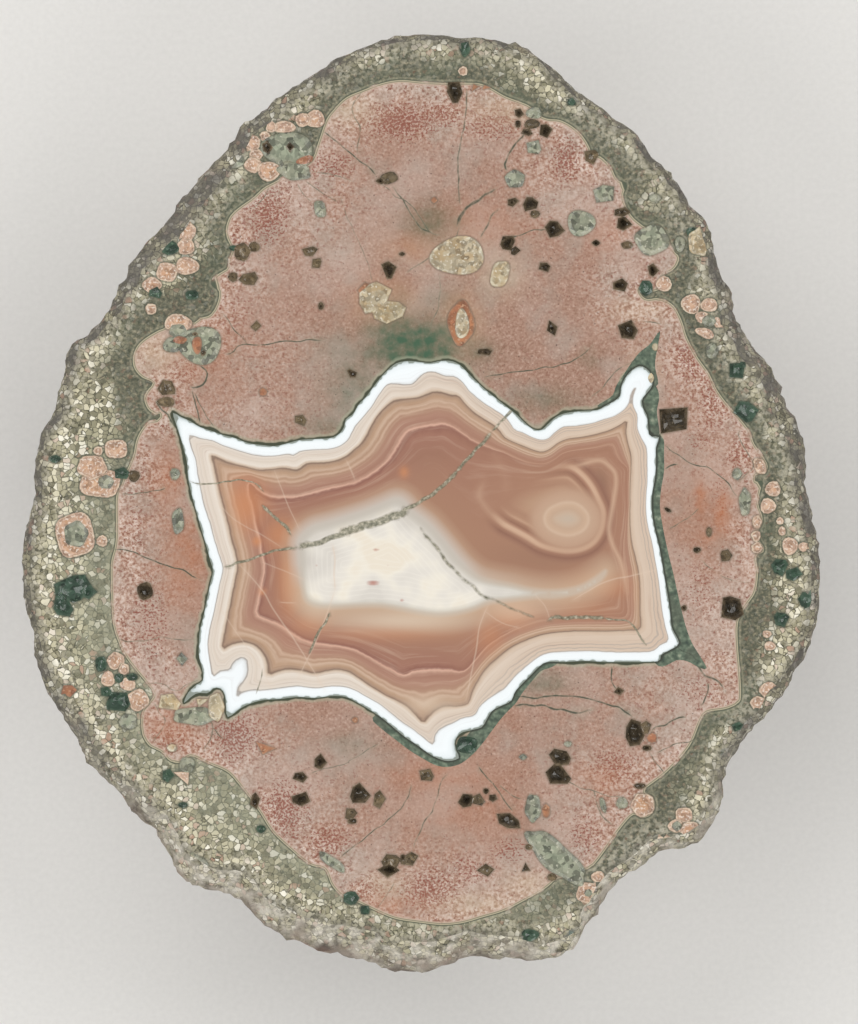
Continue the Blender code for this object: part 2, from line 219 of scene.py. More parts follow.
STROKES = tuple(Stroke(kind, *row) for kind, rows in {
    CRACK: (
        (0.16, 0.8, (324, 132, 350, 153, 376, 175)),
        (0.16, 0.7, (391, 186, 402, 200, 412, 215, 420, 228, 435, 234)),
        (0.15, 0.6, (362, 92, 353, 108, 360, 129, 357, 154)),
        (0.17, 0.7, (467, 86, 466, 108, 463, 130, 459, 150, 458, 175, 460, 204)),
        (0.26, 0.8, (495, 188, 485, 195, 474, 204, 464, 209, 456, 226)),
        (0.22, 0.6, (500, 208, 490, 220, 480, 238)),
        (0.2, 0.8, (524, 134, 514, 146, 505, 163, 507, 172)),
        (0.12, 0.9, (511, 237, 528, 232, 545, 229)),
        (0.13, 0.9, (223, 353, 232, 353, 237, 347, 248, 344, 265, 344, 289, 341, 322, 340)),
        (0.11, 0.7, (222, 311, 232, 327, 242, 337, 248, 344)),
        (0.18, 0.9, (200, 366, 207, 372, 205, 383, 195, 388, 190, 387)),
        (0.14, 0.8, (192, 389, 196, 405, 200, 422)),
        (0.13, 0.7, (195, 392, 201, 408, 214, 427)),
        (0.2, 0.8, (155, 402, 162, 410, 168, 416, 173, 425)),
        (0.11, 0.9, (482, 377, 508, 373, 534, 370, 564, 364, 582, 355, 593, 345)),
        (0.14, 0.6, (590, 398, 600, 390, 611, 377, 622, 367, 638, 358)),
        (0.12, 0.8, (664, 445, 674, 452, 690, 462, 707, 467, 720, 476, 730, 486, 737, 496)),
        (0.16, 0.9, (664, 469, 671, 466, 678, 464)),
        (0.12, 0.6, (698, 507, 690, 516, 680, 524, 668, 529)),
        (0.14, 0.9, (112, 549, 125, 550, 136, 553, 153, 560, 169, 567, 186, 571, 195, 577, 203, 580)),
        (0.12, 0.6, (113, 638, 125, 641, 141, 641, 158, 637, 177, 639, 196, 640)),
        (0.12, 0.7, (120, 494, 140, 493, 160, 490, 167, 487)),
        (0.11, 0.6, (145, 684, 160, 684, 172, 690, 180, 690, 192, 682, 200, 680)),
        (0.11, 0.6, (308, 775, 320, 769, 341, 765, 365, 752, 380, 743)),
        (0.13, 0.7, (339, 859, 361, 841, 388, 820, 406, 802, 412, 782)),
        (0.15, 0.6, (447, 773, 439, 788, 433, 810, 422, 826, 414, 849)),
        (0.14, 0.8, (478, 765, 494, 786, 504, 800, 512, 812)),
        (0.12, 0.6, (498, 783, 510, 795, 524, 798)),
        (0.16, 1.0, (515, 697, 530, 698, 545, 697, 562, 696, 572, 697, 585, 699, 600, 702, 612, 706,
                    620, 708, 630, 714, 634, 719)),
        (0.2, 1.0, (515, 706, 524, 705, 538, 705, 553, 708, 576, 712, 588, 710)),
        (0.14, 0.9, (613, 666, 611, 676, 612, 683, 616, 689)),
        (0.16, 0.9, (651, 732, 658, 726, 667, 724, 674, 719, 680, 717, 687, 718)),
        (0.12, 0.7, (657, 753, 668, 748, 675, 744, 690, 742, 697, 735)),
        (0.12, 0.7, (649, 751, 655, 761, 660, 769, 664, 774)),
        (0.14, 0.8, (708, 683, 707, 692, 704, 702, 700, 706)),
        (0.22, 0.8, (698, 666, 705, 675, 716, 680, 724, 688)),
        (0.12, 0.7, (642, 321, 655, 323, 662, 324)),
        (0.12, 0.6, (738, 483, 745, 476, 752, 470, 752, 462, 746, 450, 740, 440, 738, 433, 743, 430)),
        (0.12, 0.6, (560, 778, 575, 785, 592, 791, 612, 797, 622, 796)),
        (0.18, 0.6, (594, 791, 597, 803, 602, 815, 612, 825)),
        (0.1, 0.5, (378, 908, 388, 893, 394, 880)),
        (0.12, 0.6, (155, 702, 158, 712, 165, 720, 160, 733, 152, 744)),
        (0.13, 0.7, (206, 715, 212, 726, 210, 740, 203, 750)),
        (0.13, 0.6, (212, 728, 218, 733, 224, 740)),
        (0.11, 0.6, (312, 171, 330, 174, 352, 180)),
        (0.13, 0.6, (305, 181, 318, 190, 330, 198, 338, 201)),
        (0.12, 0.6, (298, 184, 304, 194, 312, 202)),
        (0.12, 0.6, (270, 185, 265, 195, 258, 203, 252, 210)),
        (0.09, 0.5, (340, 195, 352, 228, 368, 262, 372, 285)),
        (0.16, 0.5, (405, 273, 417, 266, 430, 257)),
        (0.14, 0.5, (440, 276, 439, 292, 438, 307, 430, 327)),
        (0.12, 0.6, (376, 178, 395, 196, 413, 207, 430, 232, 440, 234)),
        (0.12, 0.6, (480, 198, 467, 207, 459, 223, 457, 240)),
        (0.1, 0.5, (700, 560, 716, 572, 733, 580, 752, 583)),
        (0.1, 0.5, (668, 640, 684, 652, 700, 660)),
    ),
    VEIN: (
        (0.22, 0.9, (224, 567, 240, 563, 260, 556, 276, 551, 298, 547)),
        (0.42, 1.0, (298, 547, 316, 543, 339, 535, 356, 529)),
        (0.6, 1.0, (339, 534, 352, 529, 372, 523, 389, 518, 400, 514, 408, 509)),
        (0.3, 1.0, (400, 513, 415, 504, 425, 498, 436, 492, 448, 481, 457, 471)),
        (0.28, 0.9, (457, 471, 466, 461, 476, 450, 484, 441, 492, 431)),
        (0.24, 0.8, (492, 431, 503, 419, 515, 406)),
        (0.34, 0.5, (420, 527, 434, 544, 448, 563, 460, 576, 470, 584, 482, 595, 495, 600)),
        (0.3, 0.4, (495, 600, 510, 607, 522, 613, 535, 618)),
        (0.3, 0.9, (548, 620, 556, 617, 566, 618, 576, 617, 592, 618, 605, 619)),
        (0.16, 0.8, (605, 619, 620, 619, 628, 622, 638, 634, 647, 645)),
        (0.13, 0.8, (190, 481, 200, 484, 215, 483, 230, 481, 250, 481, 257, 486, 264, 492)),
        (0.26, 0.9, (262, 505, 270, 512, 278, 520, 286, 528, 291, 535)),
        (0.2, 0.8, (330, 612, 326, 622, 320, 630, 314, 641, 309, 655)),
        (0.14, 0.5, (262, 670, 260, 683, 256, 694)),
    ),
    SCRATCH: (
        (0.14, 0.7, (238, 563, 262, 590, 275, 612, 296, 642, 325, 690)),
        (0.12, 0.5, (219, 606, 236, 632, 262, 670, 272, 690)),
        (0.12, 0.6, (274, 470, 282, 490, 290, 510, 300, 530)),
        (0.16, 0.6, (346, 460, 351, 470, 355, 480)),
        (0.15, 0.9, (333, 545, 335, 560, 334, 576, 335, 590)),
        (0.14, 0.7, (335, 590, 330, 605, 324, 622, 312, 650, 298, 678)),
        (0.14, 0.7, (573, 600, 590, 590, 607, 581, 630, 576, 656, 570)),
        (0.14, 0.7, (488, 605, 480, 625, 476, 650, 470, 680, 466, 700)),
        (0.12, 0.5, (484, 610, 500, 622, 520, 628)),
        (0.12, 0.5, (215, 500, 235, 520, 262, 535, 282, 548)),
        (0.12, 0.5, (262, 562, 285, 571, 305, 580)),
        (0.12, 0.6, (279, 602, 296, 603)),
        (0.12, 0.5, (535, 595, 545, 606, 550, 620)),
    ),
    GLOW: (
        (0.42, 0.9, (572, 467, 583, 464, 594, 461, 602, 461, 609, 466, 615, 473, 616, 484, 614, 498,
                    611, 515, 609, 531, 613, 546, 620, 560, 624, 575, 626, 592)),
        (0.6, 0.35, (540, 545, 514, 530, 493, 515, 484, 505, 479, 494, 484, 482)),
        (0.9, 0.12, (492, 450, 500, 465, 506, 480, 505, 492)),
    ),
}.items() for row in rows)


class Kind(Enum):
    """What a grain or patch on the cut face is made of."""

    QUARTZ = "smoky quartz crystal"
    OLIVE = "olive brown crystal"
    CLAY = "grey green clay"
    CELADONITE = "dark green celadonite"
    SPHERULITE = "pink spherulite"
    IVORY = "ivory feldspar"
    RUST = "rust red patch"


class Ground(Enum):
    """What the stone is made of between its grains."""

    AGATE = "banded agate"
    RHYOLITE = "pink rhyolite"
    RIM = "speckled rim"
    RIND = "weathered outside"
    SEAM = "green clay seam"


QUARTZ, OLIVE, CLAY, CELADONITE, SPHERULITE, IVORY, RUST = Kind


@dataclass(frozen=True)
class Grain:
    """A crystal, spherulite or patch: its middle and half sizes in pixels, turn and corners."""

    kind: Kind
    x: float
    y: float
    half_x: float
    half_y: float
    turn: float = 0.0  # degrees, anticlockwise
    corners: int = 0  # 0 is round


# Of the spherulites the largest come first, so that small ones lie on them
GRAINS = tuple(Grain(kind, *row) for kind, rows in {
    SPHERULITE: (
        (75, 535, 20, 23), (100, 483, 21, 15), (92, 467, 15, 12), (116, 449, 12, 10), (98, 451, 5, 5),
        (102, 541, 6, 6), (167, 272, 11, 10), (187, 266, 12, 9), (152, 285, 10, 8), (187, 232, 9, 10),
        (186, 247, 9, 8), (151, 309, 6, 6), (315, 119, 10, 9), (303, 120, 8, 7), (284, 127, 12, 6),
        (271, 127, 6, 6), (252, 143, 9, 8), (265, 136, 6, 5), (256, 155, 7, 6), (253, 165, 9, 8),
        (269, 171, 12, 10), (178, 323, 14, 9), (116, 661, 9, 9), (108, 679, 7, 8), (124, 669, 6, 6),
        (128, 684, 8, 7), (138, 700, 11, 11), (183, 776, 8, 9, 40, 3), (691, 304, 10, 10), (709, 305, 9, 7),
        (702, 317, 7, 6), (727, 315, 8, 7), (719, 322, 6, 6), (705, 333, 10, 5, -20), (773, 489, 8, 8),
        (768, 506, 8, 8), (790, 546, 8, 9), (803, 547, 5, 5), (780, 521, 4, 4), (782, 531, 4, 5),
        (767, 634, 5, 4), (770, 646, 6, 5), (684, 815, 9, 8), (676, 826, 8, 7), (690, 830, 10, 9),
        (662, 843, 11, 7, 20), (706, 835, 8, 8), (589, 893, 13, 11), (598, 877, 7, 6), (463, 71, 5, 5),
        (769, 690, 10, 8), (758, 703, 8, 7), (643, 805, 12, 12), (664, 284, 8, 8), (757, 522, 5, 7),
        (756, 536, 5, 6), (757, 548, 6, 6), (760, 466, 6, 9, 25),
    ),
    CLAY: (
        (288, 150, 26, 18, -8), (294, 171, 17, 9, -10), (76, 534, 12, 13), (106, 482, 8, 7),
        (178, 331, 9, 7), (172, 345, 9, 8), (200, 345, 22, 19), (652, 240, 17, 15), (581, 223, 14, 13),
        (605, 194, 10, 10, 20, 5), (515, 179, 10, 9), (533, 147, 8, 8, 0, 5), (320, 209, 6, 9, 15),
        (534, 113, 8, 6), (178, 521, 6, 13), (175, 474, 5, 6), (182, 659, 5, 6, 0, 4), (745, 502, 6, 14),
        (737, 474, 5, 6), (533, 808, 8, 14), (556, 857, 14, 38, 48), (332, 862, 5, 16, 55),
        (195, 716, 22, 9), (589, 893, 5, 4), (709, 321, 7, 6), (677, 826, 5, 5), (712, 351, 6, 8),
        (622, 803, 6, 6), (187, 765, 8, 8), (655, 198, 6, 4), (198, 864, 14, 7, -35),
        (235, 161, 9, 7), (680, 244, 5, 8), (128, 722, 9, 8), (603, 805, 3, 8, 15), (568, 744, 4, 3),
        (523, 757, 4, 3),
    ),
    CELADONITE: (
        (73, 588, 17, 13, 0, 7), (88, 592, 8, 7, 0, 5), (63, 608, 9, 9, 0, 6), (101, 664, 6, 8),
        (105, 692, 6, 5, 0, 5), (117, 701, 12, 10, 0, 6), (119, 678, 5, 5), (132, 677, 6, 4),
        (168, 775, 7, 6, 0, 5), (183, 805, 5, 3), (261, 829, 5, 4), (779, 567, 8, 8, 0, 6),
        (793, 574, 8, 7, 0, 5), (806, 600, 8, 8, 0, 6), (781, 619, 8, 7, 0, 6), (738, 727, 6, 5),
        (725, 753, 4, 3), (465, 49, 5, 8), (192, 295, 7, 5), (170, 248, 9, 7), (55, 459, 6, 4),
        (122, 474, 8, 6, 0, 5), (737, 370, 10, 9, 40, 4), (746, 412, 11, 11, 20, 6), (572, 102, 5, 4),
        (351, 898, 8, 7), (365, 910, 5, 5), (646, 288, 7, 8), (467, 745, 11, 9), (233, 248, 4, 3),
        (60, 598, 6, 12, 0, 5), (692, 232, 6, 5), (530, 935, 9, 6), (574, 938, 8, 7),
        (155, 293, 7, 6, 0, 5),
    ),
    RUST: (
        (366, 291, 8, 9, 20, 5), (378, 303, 6, 5), (461, 323, 13, 22), (267, 746, 10, 9, 10, 3),
        (305, 160, 9, 4, 15), (263, 392, 4, 4), (355, 720, 3, 3), (69, 691, 8, 6, 0, 5), (546, 811, 4, 7),
        (162, 231, 7, 7), (197, 345, 5, 9), (434, 200, 3, 3), (474, 88, 5, 4, 0, 3), (486, 88, 4, 3, 0, 3),
        (652, 738, 5, 5), (180, 340, 7, 4),
    ),
    IVORY: (
        (700, 242, 12, 14), (458, 256, 27, 19, 5), (500, 274, 9, 14, -20), (462, 324, 7, 15),
        (374, 297, 17, 13, 30, 8), (389, 311, 14, 11, 10, 7), (170, 702, 11, 9, 0, 5),
        (202, 702, 7, 6, 20, 3), (216, 707, 8, 14), (172, 748, 5, 4), (655, 347, 3, 4), (651, 378, 3, 5),
    ),
    OLIVE: (
        (389, 178, 9, 6, 10), (242, 252, 8, 9), (254, 247, 6, 5), (310, 251, 7, 5, 0, 5),
        (316, 263, 6, 5, 0, 5), (233, 277, 5, 5), (249, 279, 9, 7, 0, 6), (256, 326, 5, 5, 0, 4),
        (532, 124, 8, 5, 5), (535, 214, 5, 4), (300, 420, 6, 6, 0, 5), (167, 388, 9, 7, 0, 6),
        (166, 402, 9, 5), (379, 800, 6, 8, 0, 5), (351, 814, 7, 6, 0, 5), (478, 800, 6, 6, 0, 5),
        (391, 862, 9, 9, 0, 6), (409, 859, 9, 6, 10, 5), (486, 870, 8, 6, 5, 4), (529, 847, 4, 3),
        (552, 877, 5, 4), (627, 245, 6, 4), (134, 476, 6, 6), (726, 556, 6, 6, 0, 6),
        (645, 728, 7, 6, 20, 5), (591, 157, 7, 7, 0, 5), (426, 775, 8, 6, 0, 5), (709, 532, 3, 5),
    ),
    QUARTZ: (
        (455, 92, 8, 11, 0, 6), (381, 181, 5, 3), (389, 270, 8, 8, 20, 5), (402, 254, 3, 2),
        (519, 113, 5, 4, 0, 5), (518, 124, 3, 4), (545, 131, 7, 7, 0, 5), (527, 132, 5, 4, 0, 5),
        (512, 202, 6, 4, 0, 5), (531, 204, 8, 7, 10, 6), (555, 229, 9, 8, 0, 6), (596, 243, 4, 3),
        (508, 243, 7, 8, 0, 6), (515, 251, 5, 4, 0, 5), (622, 212, 8, 5, 0, 5), (624, 224, 9, 7, 0, 5),
        (653, 270, 6, 6, 0, 5), (620, 285, 8, 7, 0, 5), (627, 330, 10, 9, 15, 5), (673, 419, 17, 16, 47, 4),
        (544, 267, 6, 5, 0, 5), (552, 328, 5, 8, 20, 4), (732, 608, 12, 11, 90, 6), (697, 550, 4, 3),
        (684, 608, 3, 3), (668, 510, 4, 2, -30), (619, 691, 5, 4, 10, 4), (634, 733, 9, 13, 0, 7),
        (647, 748, 5, 3), (145, 591, 8, 9), (166, 387, 4, 6, 0, 5), (300, 777, 7, 5, 0, 5),
        (300, 799, 9, 7, 0, 5), (255, 801, 5, 7, 0, 5), (359, 794, 10, 10, 10, 6), (320, 762, 6, 7, 0, 5),
        (352, 821, 5, 3), (467, 800, 8, 7, 0, 6), (486, 791, 3, 3), (493, 798, 4, 4, 0, 5),
        (509, 821, 13, 7, -33, 6), (560, 757, 11, 8, 0, 6), (557, 775, 12, 11, 0, 6),
        (389, 870, 10, 7, 0, 4), (403, 858, 3, 4), (525, 868, 5, 5, 0, 3), (352, 373, 4, 5, 30, 5),
        (203, 353, 3, 3), (267, 147, 5, 7, 0, 5), (290, 147, 4, 5, 0, 4), (640, 786, 6, 3),
        (288, 911, 4, 2), (485, 352, 7, 4, 0, 5), (195, 334, 3, 2), (321, 306, 3, 4),
    ),
}.items() for row in rows)

# Open hollows: how steeply their walls fall, and their greatest depth in mm
HOLLOWS = {QUARTZ: (1.7, 1.0), OLIVE: (1.0, 0.55), CELADONITE: (0.8, 0.45), CLAY: (0.3, 0.12)}


class Stain(Enum):
    """A tint that comes and goes smoothly over the rock."""

    RED = "red"  # red brown specks crowd here
    GREEN = "green"
    IVORY = "ivory"
    ORANGE = "orange"
    COARSE = "coarse"  # light and dark mottling is coarser here
    SMOKE = "smoke"  # clear dark silica


@dataclass(frozen=True)
class Cloud:
    """One smooth patch of a stain: middle and half sizes in pixels, and strength."""

    stain: Stain
    x: float
    y: float
    half_x: float
    half_y: float
    strength: float


RED, GREEN, PALE, ORANGE, COARSE, SMOKE = Stain

CLOUDS = tuple(Cloud(stain, *row) for stain, rows in {
    RED: (
        (400, 122, 38, 18, 1.0), (440, 115, 26, 14, 0.8), (495, 125, 30, 15, 0.8), (565, 160, 14, 24, 0.9),
        (268, 215, 20, 28, 0.9), (330, 165, 25, 14, 0.7), (690, 360, 16, 24, 0.8), (712, 400, 14, 30, 0.7),
        (738, 455, 12, 18, 0.7), (700, 440, 16, 14, 0.5), (235, 735, 26, 26, 0.9), (285, 810, 22, 28, 0.9),
        (330, 840, 22, 16, 0.8), (430, 890, 30, 18, 0.9), (470, 870, 26, 16, 0.6), (510, 850, 20, 12, 0.7),
        (615, 765, 24, 18, 0.7), (585, 835, 20, 24, 0.6), (370, 890, 22, 14, 0.7), (150, 620, 20, 50, 0.6),
        (135, 530, 14, 40, 0.4), (240, 310, 22, 24, 0.4), (700, 690, 30, 16, 0.5), (700, 590, 20, 40, 0.45),
        (180, 370, 20, 12, 0.6), (170, 740, 22, 16, 0.6), (720, 500, 10, 30, 0.5),
    ),
    COARSE: (
        (300, 190, 60, 70, 0.9), (360, 110, 40, 25, 0.9), (450, 120, 80, 25, 0.8), (560, 170, 50, 60, 0.9),
        (720, 400, 40, 80, 0.9), (240, 420, 70, 40, 0.6), (260, 360, 60, 60, 0.5), (150, 560, 35, 120, 0.7),
        (700, 620, 30, 70, 0.8), (680, 690, 70, 35, 0.8), (600, 800, 50, 60, 0.9), (440, 890, 100, 40, 1.0),
        (300, 830, 60, 50, 0.9), (240, 760, 50, 50, 0.9),
    ),
    GREEN: (
        (398, 338, 30, 20, 1.0), (426, 342, 34, 22, 1.0), (412, 353, 50, 17, 1.0), (442, 354, 16, 12, 0.9),
        (355, 385, 30, 40, 0.5), (340, 350, 30, 20, 0.3), (330, 425, 24, 10, 0.4), (545, 400, 30, 12, 0.4),
        (430, 222, 24, 16, 0.6), (440, 300, 20, 14, 0.3), (480, 350, 14, 10, 0.5), (545, 683, 24, 10, 0.5),
        (400, 305, 10, 16, 0.3), (590, 360, 10, 8, 0.3), (350, 745, 24, 12, 0.3),
    ),
    PALE: (
        (440, 250, 60, 16, 0.25), (500, 275, 20, 20, 0.5), (460, 325, 20, 28, 0.5), (385, 305, 26, 18, 0.5),
        (350, 110, 24, 16, 0.5), (520, 110, 40, 14, 0.5), (158, 352, 22, 20, 0.5), (530, 885, 26, 14, 0.5),
        (385, 885, 20, 14, 0.4), (645, 370, 14, 20, 0.4), (480, 905, 40, 12, 0.5), (640, 310, 30, 14, 0.3),
    ),
    ORANGE: (
        (384, 300, 30, 22, 0.6), (470, 225, 50, 20, 0.5), (415, 245, 24, 14, 0.6), (185, 560, 22, 40, 0.7),
        (170, 480, 16, 26, 0.6), (705, 505, 40, 50, 0.35), (700, 497, 7, 16, 1.0), (722, 512, 8, 26, 1.0),
        (712, 537, 20, 8, 0.6), (462, 320, 16, 26, 0.7), (610, 235, 20, 20, 0.4), (470, 810, 60, 30, 0.4),
        (440, 775, 60, 18, 0.5), (200, 350, 30, 30, 0.4), (170, 725, 26, 24, 0.5), (300, 930, 22, 12, 0.9),
        (600, 780, 26, 14, 0.4), (470, 720, 40, 20, 0.3), (390, 905, 30, 12, 0.5),
    ),
}.items() for row in rows)

# Warm tints inside the agate, in the same form
AGATE_CLOUDS = tuple(Cloud(stain, *row) for stain, rows in {
    ORANGE: (
        (245, 505, 20, 26, 0.9), (280, 535, 16, 16, 0.7), (257, 541, 5, 5, 1.0), (218, 489, 5, 6, 1.0),
        (292, 580, 12, 34, 0.9), (510, 612, 22, 14, 0.9), (600, 585, 26, 12, 0.6), (310, 622, 20, 12, 0.6),
        (390, 632, 60, 8, 0.5), (490, 635, 14, 20, 0.5), (404, 472, 4, 5, 0.9), (262, 592, 3, 3, 0.9),
        (580, 605, 30, 12, 0.3), (645, 590, 10, 20, 0.5),
    ),
    RED: (
        (373, 583, 7, 2, 1.0), (376, 550, 4, 2, 0.7), (402, 600, 3, 2, 0.7), (388, 565, 4, 3, 0.4),
        (316, 565, 2, 2, 0.6), (385, 545, 3, 2, 0.4),
    ),
    PALE: (
        (515, 612, 26, 11, 0.45), (400, 621, 60, 9, 0.9), (430, 705, 26, 8, 0.6), (318, 600, 16, 20, 0.6),
    ),
    SMOKE: (
        (599, 487, 8, 15, 0.7), (545, 558, 50, 16, 0.25), (420, 455, 40, 14, 0.12),
    ),
}.items() for row in rows)


# Shapes on the cut face

def linear(colour: str) -> tuple[float, float, float, float]:
    """Turn an sRGB colour into linear light.

    Args:
        colour: Six hex digits after a hash sign.

    Returns:
        Red, green, blue and alpha.
    """
    parts = [int(colour[i:i + 2], 16) / 255 for i in (1, 3, 5)]
    red, green, blue = [p / 12.92 if p <= 0.04045 else ((p + 0.055) / 1.055) ** 2.4 for p in parts]
    return red, green, blue, 1.0


def smooth_line(points: np.ndarray, spacing: float, closed: bool = False) -> np.ndarray:
    """Run a smooth curve through points, with new points evenly along it.

    Args:
        points: The points that the curve passes through.
        spacing: Wanted distance between the new points.
        closed: Whether the curve returns to its start.

    Returns:
        The new points, without a repeated first one on a closed curve.
    """
    if closed:
        ends = np.vstack([points[-1], points, points[:2]])
    else:
        ends = np.vstack([2 * points[0] - points[1], points, 2 * points[-1] - points[-2]])
    t = np.linspace(0, 1, 8, endpoint=False)[:, None]
    fine = [b + 0.5 * t * ((c - a) + t * (2 * a - 5 * b + 4 * c - d + t * (3 * b - a - 3 * c + d)))
            for a, b, c, d in zip(ends, ends[1:], ends[2:], ends[3:])]
    fine = np.vstack(fine + [points[:1] if closed else points[-1:]])
    reached = np.r_[0, np.cumsum(np.linalg.norm(np.diff(fine, axis=0), axis=1))]
    wanted = np.linspace(0, reached[-1], max(3, round(reached[-1] / spacing)) + 1)
    line = np.column_stack([np.interp(wanted, reached, fine[:, i]) for i in (0, 1)])
    return line[:-1] if closed else line


def nearest(points: np.ndarray, line: np.ndarray, closed: bool = False) -> tuple[np.ndarray, np.ndarray]:
    """Find how far points are from a line.

    Args:
        points: Points to measure from.
        line: The line's own points.
        closed: Whether the line returns to its start.

    Returns:
        The distance of each point, and where on the line it is nearest, from 0 to 1.
    """
    starts, ends = (line, np.roll(line, -1, axis=0)) if closed else (line[:-1], line[1:])
    best = np.full(len(points), np.inf)
    place = np.zeros(len(points))
    for i, (start, end) in enumerate(zip(starts, ends)):
        along = end - start
        away = points - start
        share = np.clip(away @ along / (along @ along), 0, 1)
        gap = away - share[:, None] * along
        square = np.einsum("ij,ij->i", gap, gap)
        closer = square < best
        best[closer] = square[closer]
        place[closer] = (i + share[closer]) / len(starts)
    return np.sqrt(best), place


def inside(points: np.ndarray, outline: np.ndarray) -> np.ndarray:
    """Tell which points lie inside an outline.

    Args:
        points: Points to test.
        outline: Closed outline.

    Returns:
        True for each point inside.
    """
    x, y = points.T
    odd = np.zeros(len(points), bool)
    for (x0, y0), (x1, y1) in zip(outline, np.roll(outline, -1, axis=0)):
        if y0 != y1:
            odd ^= ((y0 > y) != (y1 > y)) & (x < (x1 - x0) * (y - y0) / (y1 - y0) + x0)
    return odd


def close_to(points: np.ndarray, line: np.ndarray, margin: float = 0.0) -> np.ndarray:
    """Numbers of the points that lie within a line's own box, grown by a margin."""
    return np.flatnonzero(((points > line.min(0) - margin) & (points < line.max(0) + margin)).all(1))


def roughness_at(points: np.ndarray, wave: float, seed: float) -> np.ndarray:
    """Read smooth random values, for shapes.

    Args:
        points: Places in mm, with two or three coordinates.
        wave: Distance over which the value changes, in mm.
        seed: Offset that makes one set of values unlike another.

    Returns:
        Values between about -1 and 1.
    """
    spots = np.column_stack([points, np.zeros(len(points))])[:, :3] / wave
    return np.array([noise.noise(Vector(p) + Vector((seed, -seed, seed))) for p in spots])


@dataclass(frozen=True)
class Picture:
    """Places pixels of the reference picture on the cut face.

    Args:
        stone_length: Length of the stone in mm, top to bottom of the picture.
    """

    stone_length: float

    @property
    def pixel(self) -> float:
        """Size of one pixel in mm."""
        return self.stone_length / (STONE_BOTTOM - STONE_TOP)

    @property
    def middle(self) -> np.ndarray:
        """Pixel over the stone's own middle."""
        return np.array([(STONE_LEFT + STONE_RIGHT) / 2, (STONE_TOP + STONE_BOTTOM) / 2])

    def place(self, pixels: Points) -> np.ndarray:
        """Turn pixels into mm on the face, y away from the picture's bottom edge."""
        return (np.array(pixels, float).reshape(-1, 2) - self.middle) * (self.pixel, -self.pixel)


@dataclass
class Sketch:
    """Lines and points that the cut face's triangles must follow.

    Args:
        ring: The cut's edge in mm.
        clearance: Least distance between the edge and any other point, in mm.
    """

    ring: np.ndarray
    clearance: float = 0.3
    points: list[np.ndarray] = field(default_factory=list)
    edges: list[tuple[int, int]] = field(default_factory=list)
    count: int = 0

    def room(self, points: np.ndarray) -> np.ndarray:
        """Measure from points to the cut's edge, away from the middle.

        Args:
            points: Places in mm.

        Returns:
            Distances in mm, negative outside the edge.
        """
        angles = np.arctan2(self.ring[:, 1], self.ring[:, 0])
        order = np.argsort(angles)
        reach = np.interp(np.arctan2(points[:, 1], points[:, 0]), angles[order],
                          np.linalg.norm(self.ring, axis=1)[order], period=2 * math.pi)
        return reach - np.linalg.norm(points, axis=1)

    def line(self, points: np.ndarray, closed: bool = False, edge: bool = False) -> None:
        """Add a line, without its parts that come too near the cut's edge.

        Args:
            points: The line's points in mm.
            closed: Whether it returns to its start.
            edge: True only for the cut's edge itself.
        """
        kept = np.ones(len(points), bool) if edge else self.room(points) > self.clearance
        numbers = np.cumsum(kept) - 1 + self.count
        last = len(points) if closed else len(points) - 1
        for i in range(last):
            j = (i + 1) % len(points)
            if kept[i] and kept[j]:
                self.edges.append((int(numbers[i]), int(numbers[j])))
        self.points.append(points[kept])
        self.count += int(kept.sum())

    def fill(self, spacing: float, region: np.ndarray | None, clear: float) -> None:
        """Fill a region with points in even triangles, away from what is there already.

        Args:
            spacing: Distance between the points in mm.
            region: Outline to fill, or None for the whole cut.
            clear: Size in mm of the squares around old points that stay free.
        """
        outline = self.ring if region is None else region
        low, high = outline.min(0), outline.max(0)
        rows = np.arange(low[1], high[1], spacing * math.sqrt(3) / 2)
        xs = np.arange(low[0], high[0], spacing)
        grid = np.vstack([np.column_stack([xs + (i % 2) * spacing / 2, np.full(len(xs), y)])
                          for i, y in enumerate(rows)])
        grid = grid[self.room(grid) > spacing * 0.6]
        if region is not None:
            grid = grid[inside(grid, region)]
        taken = np.floor(np.vstack(self.points) / clear).astype(np.int64)
        near = np.vstack([taken + (i, j) for i in (-1, 0, 1) for j in (-1, 0, 1)])
        wide = 10 ** 6  # more than the squares in a row, so that each square has its own number
        cells = np.floor(grid / clear).astype(np.int64)
        free = ~np.isin(cells[:, 0] * wide + cells[:, 1], near[:, 0] * wide + near[:, 1])
        self.points.append(grid[free])
        self.count += int(free.sum())

    def triangles(self) -> tuple[np.ndarray, np.ndarray]:
        """Cut the face into triangles.

        Returns:
            The mesh points, the cut's edge first, and the triangles inside the edge.
        """
        points = [Vector(p) for p in np.vstack(self.points)]
        made = delaunay_2d_cdt(points, self.edges, [], 0, 1e-6)
        spots = np.array([tuple(p) for p in made[0]])
        faces = np.array(made[2])
        came_from = [group[0] if group else len(points) for group in made[3]]
        order = np.argsort(came_from, kind="stable")
        new_number = np.empty(len(order), int)
        new_number[order] = np.arange(len(order))
        spots, faces = spots[order], new_number[faces]
        return spots, faces[inside(spots[faces].mean(1), self.ring)]


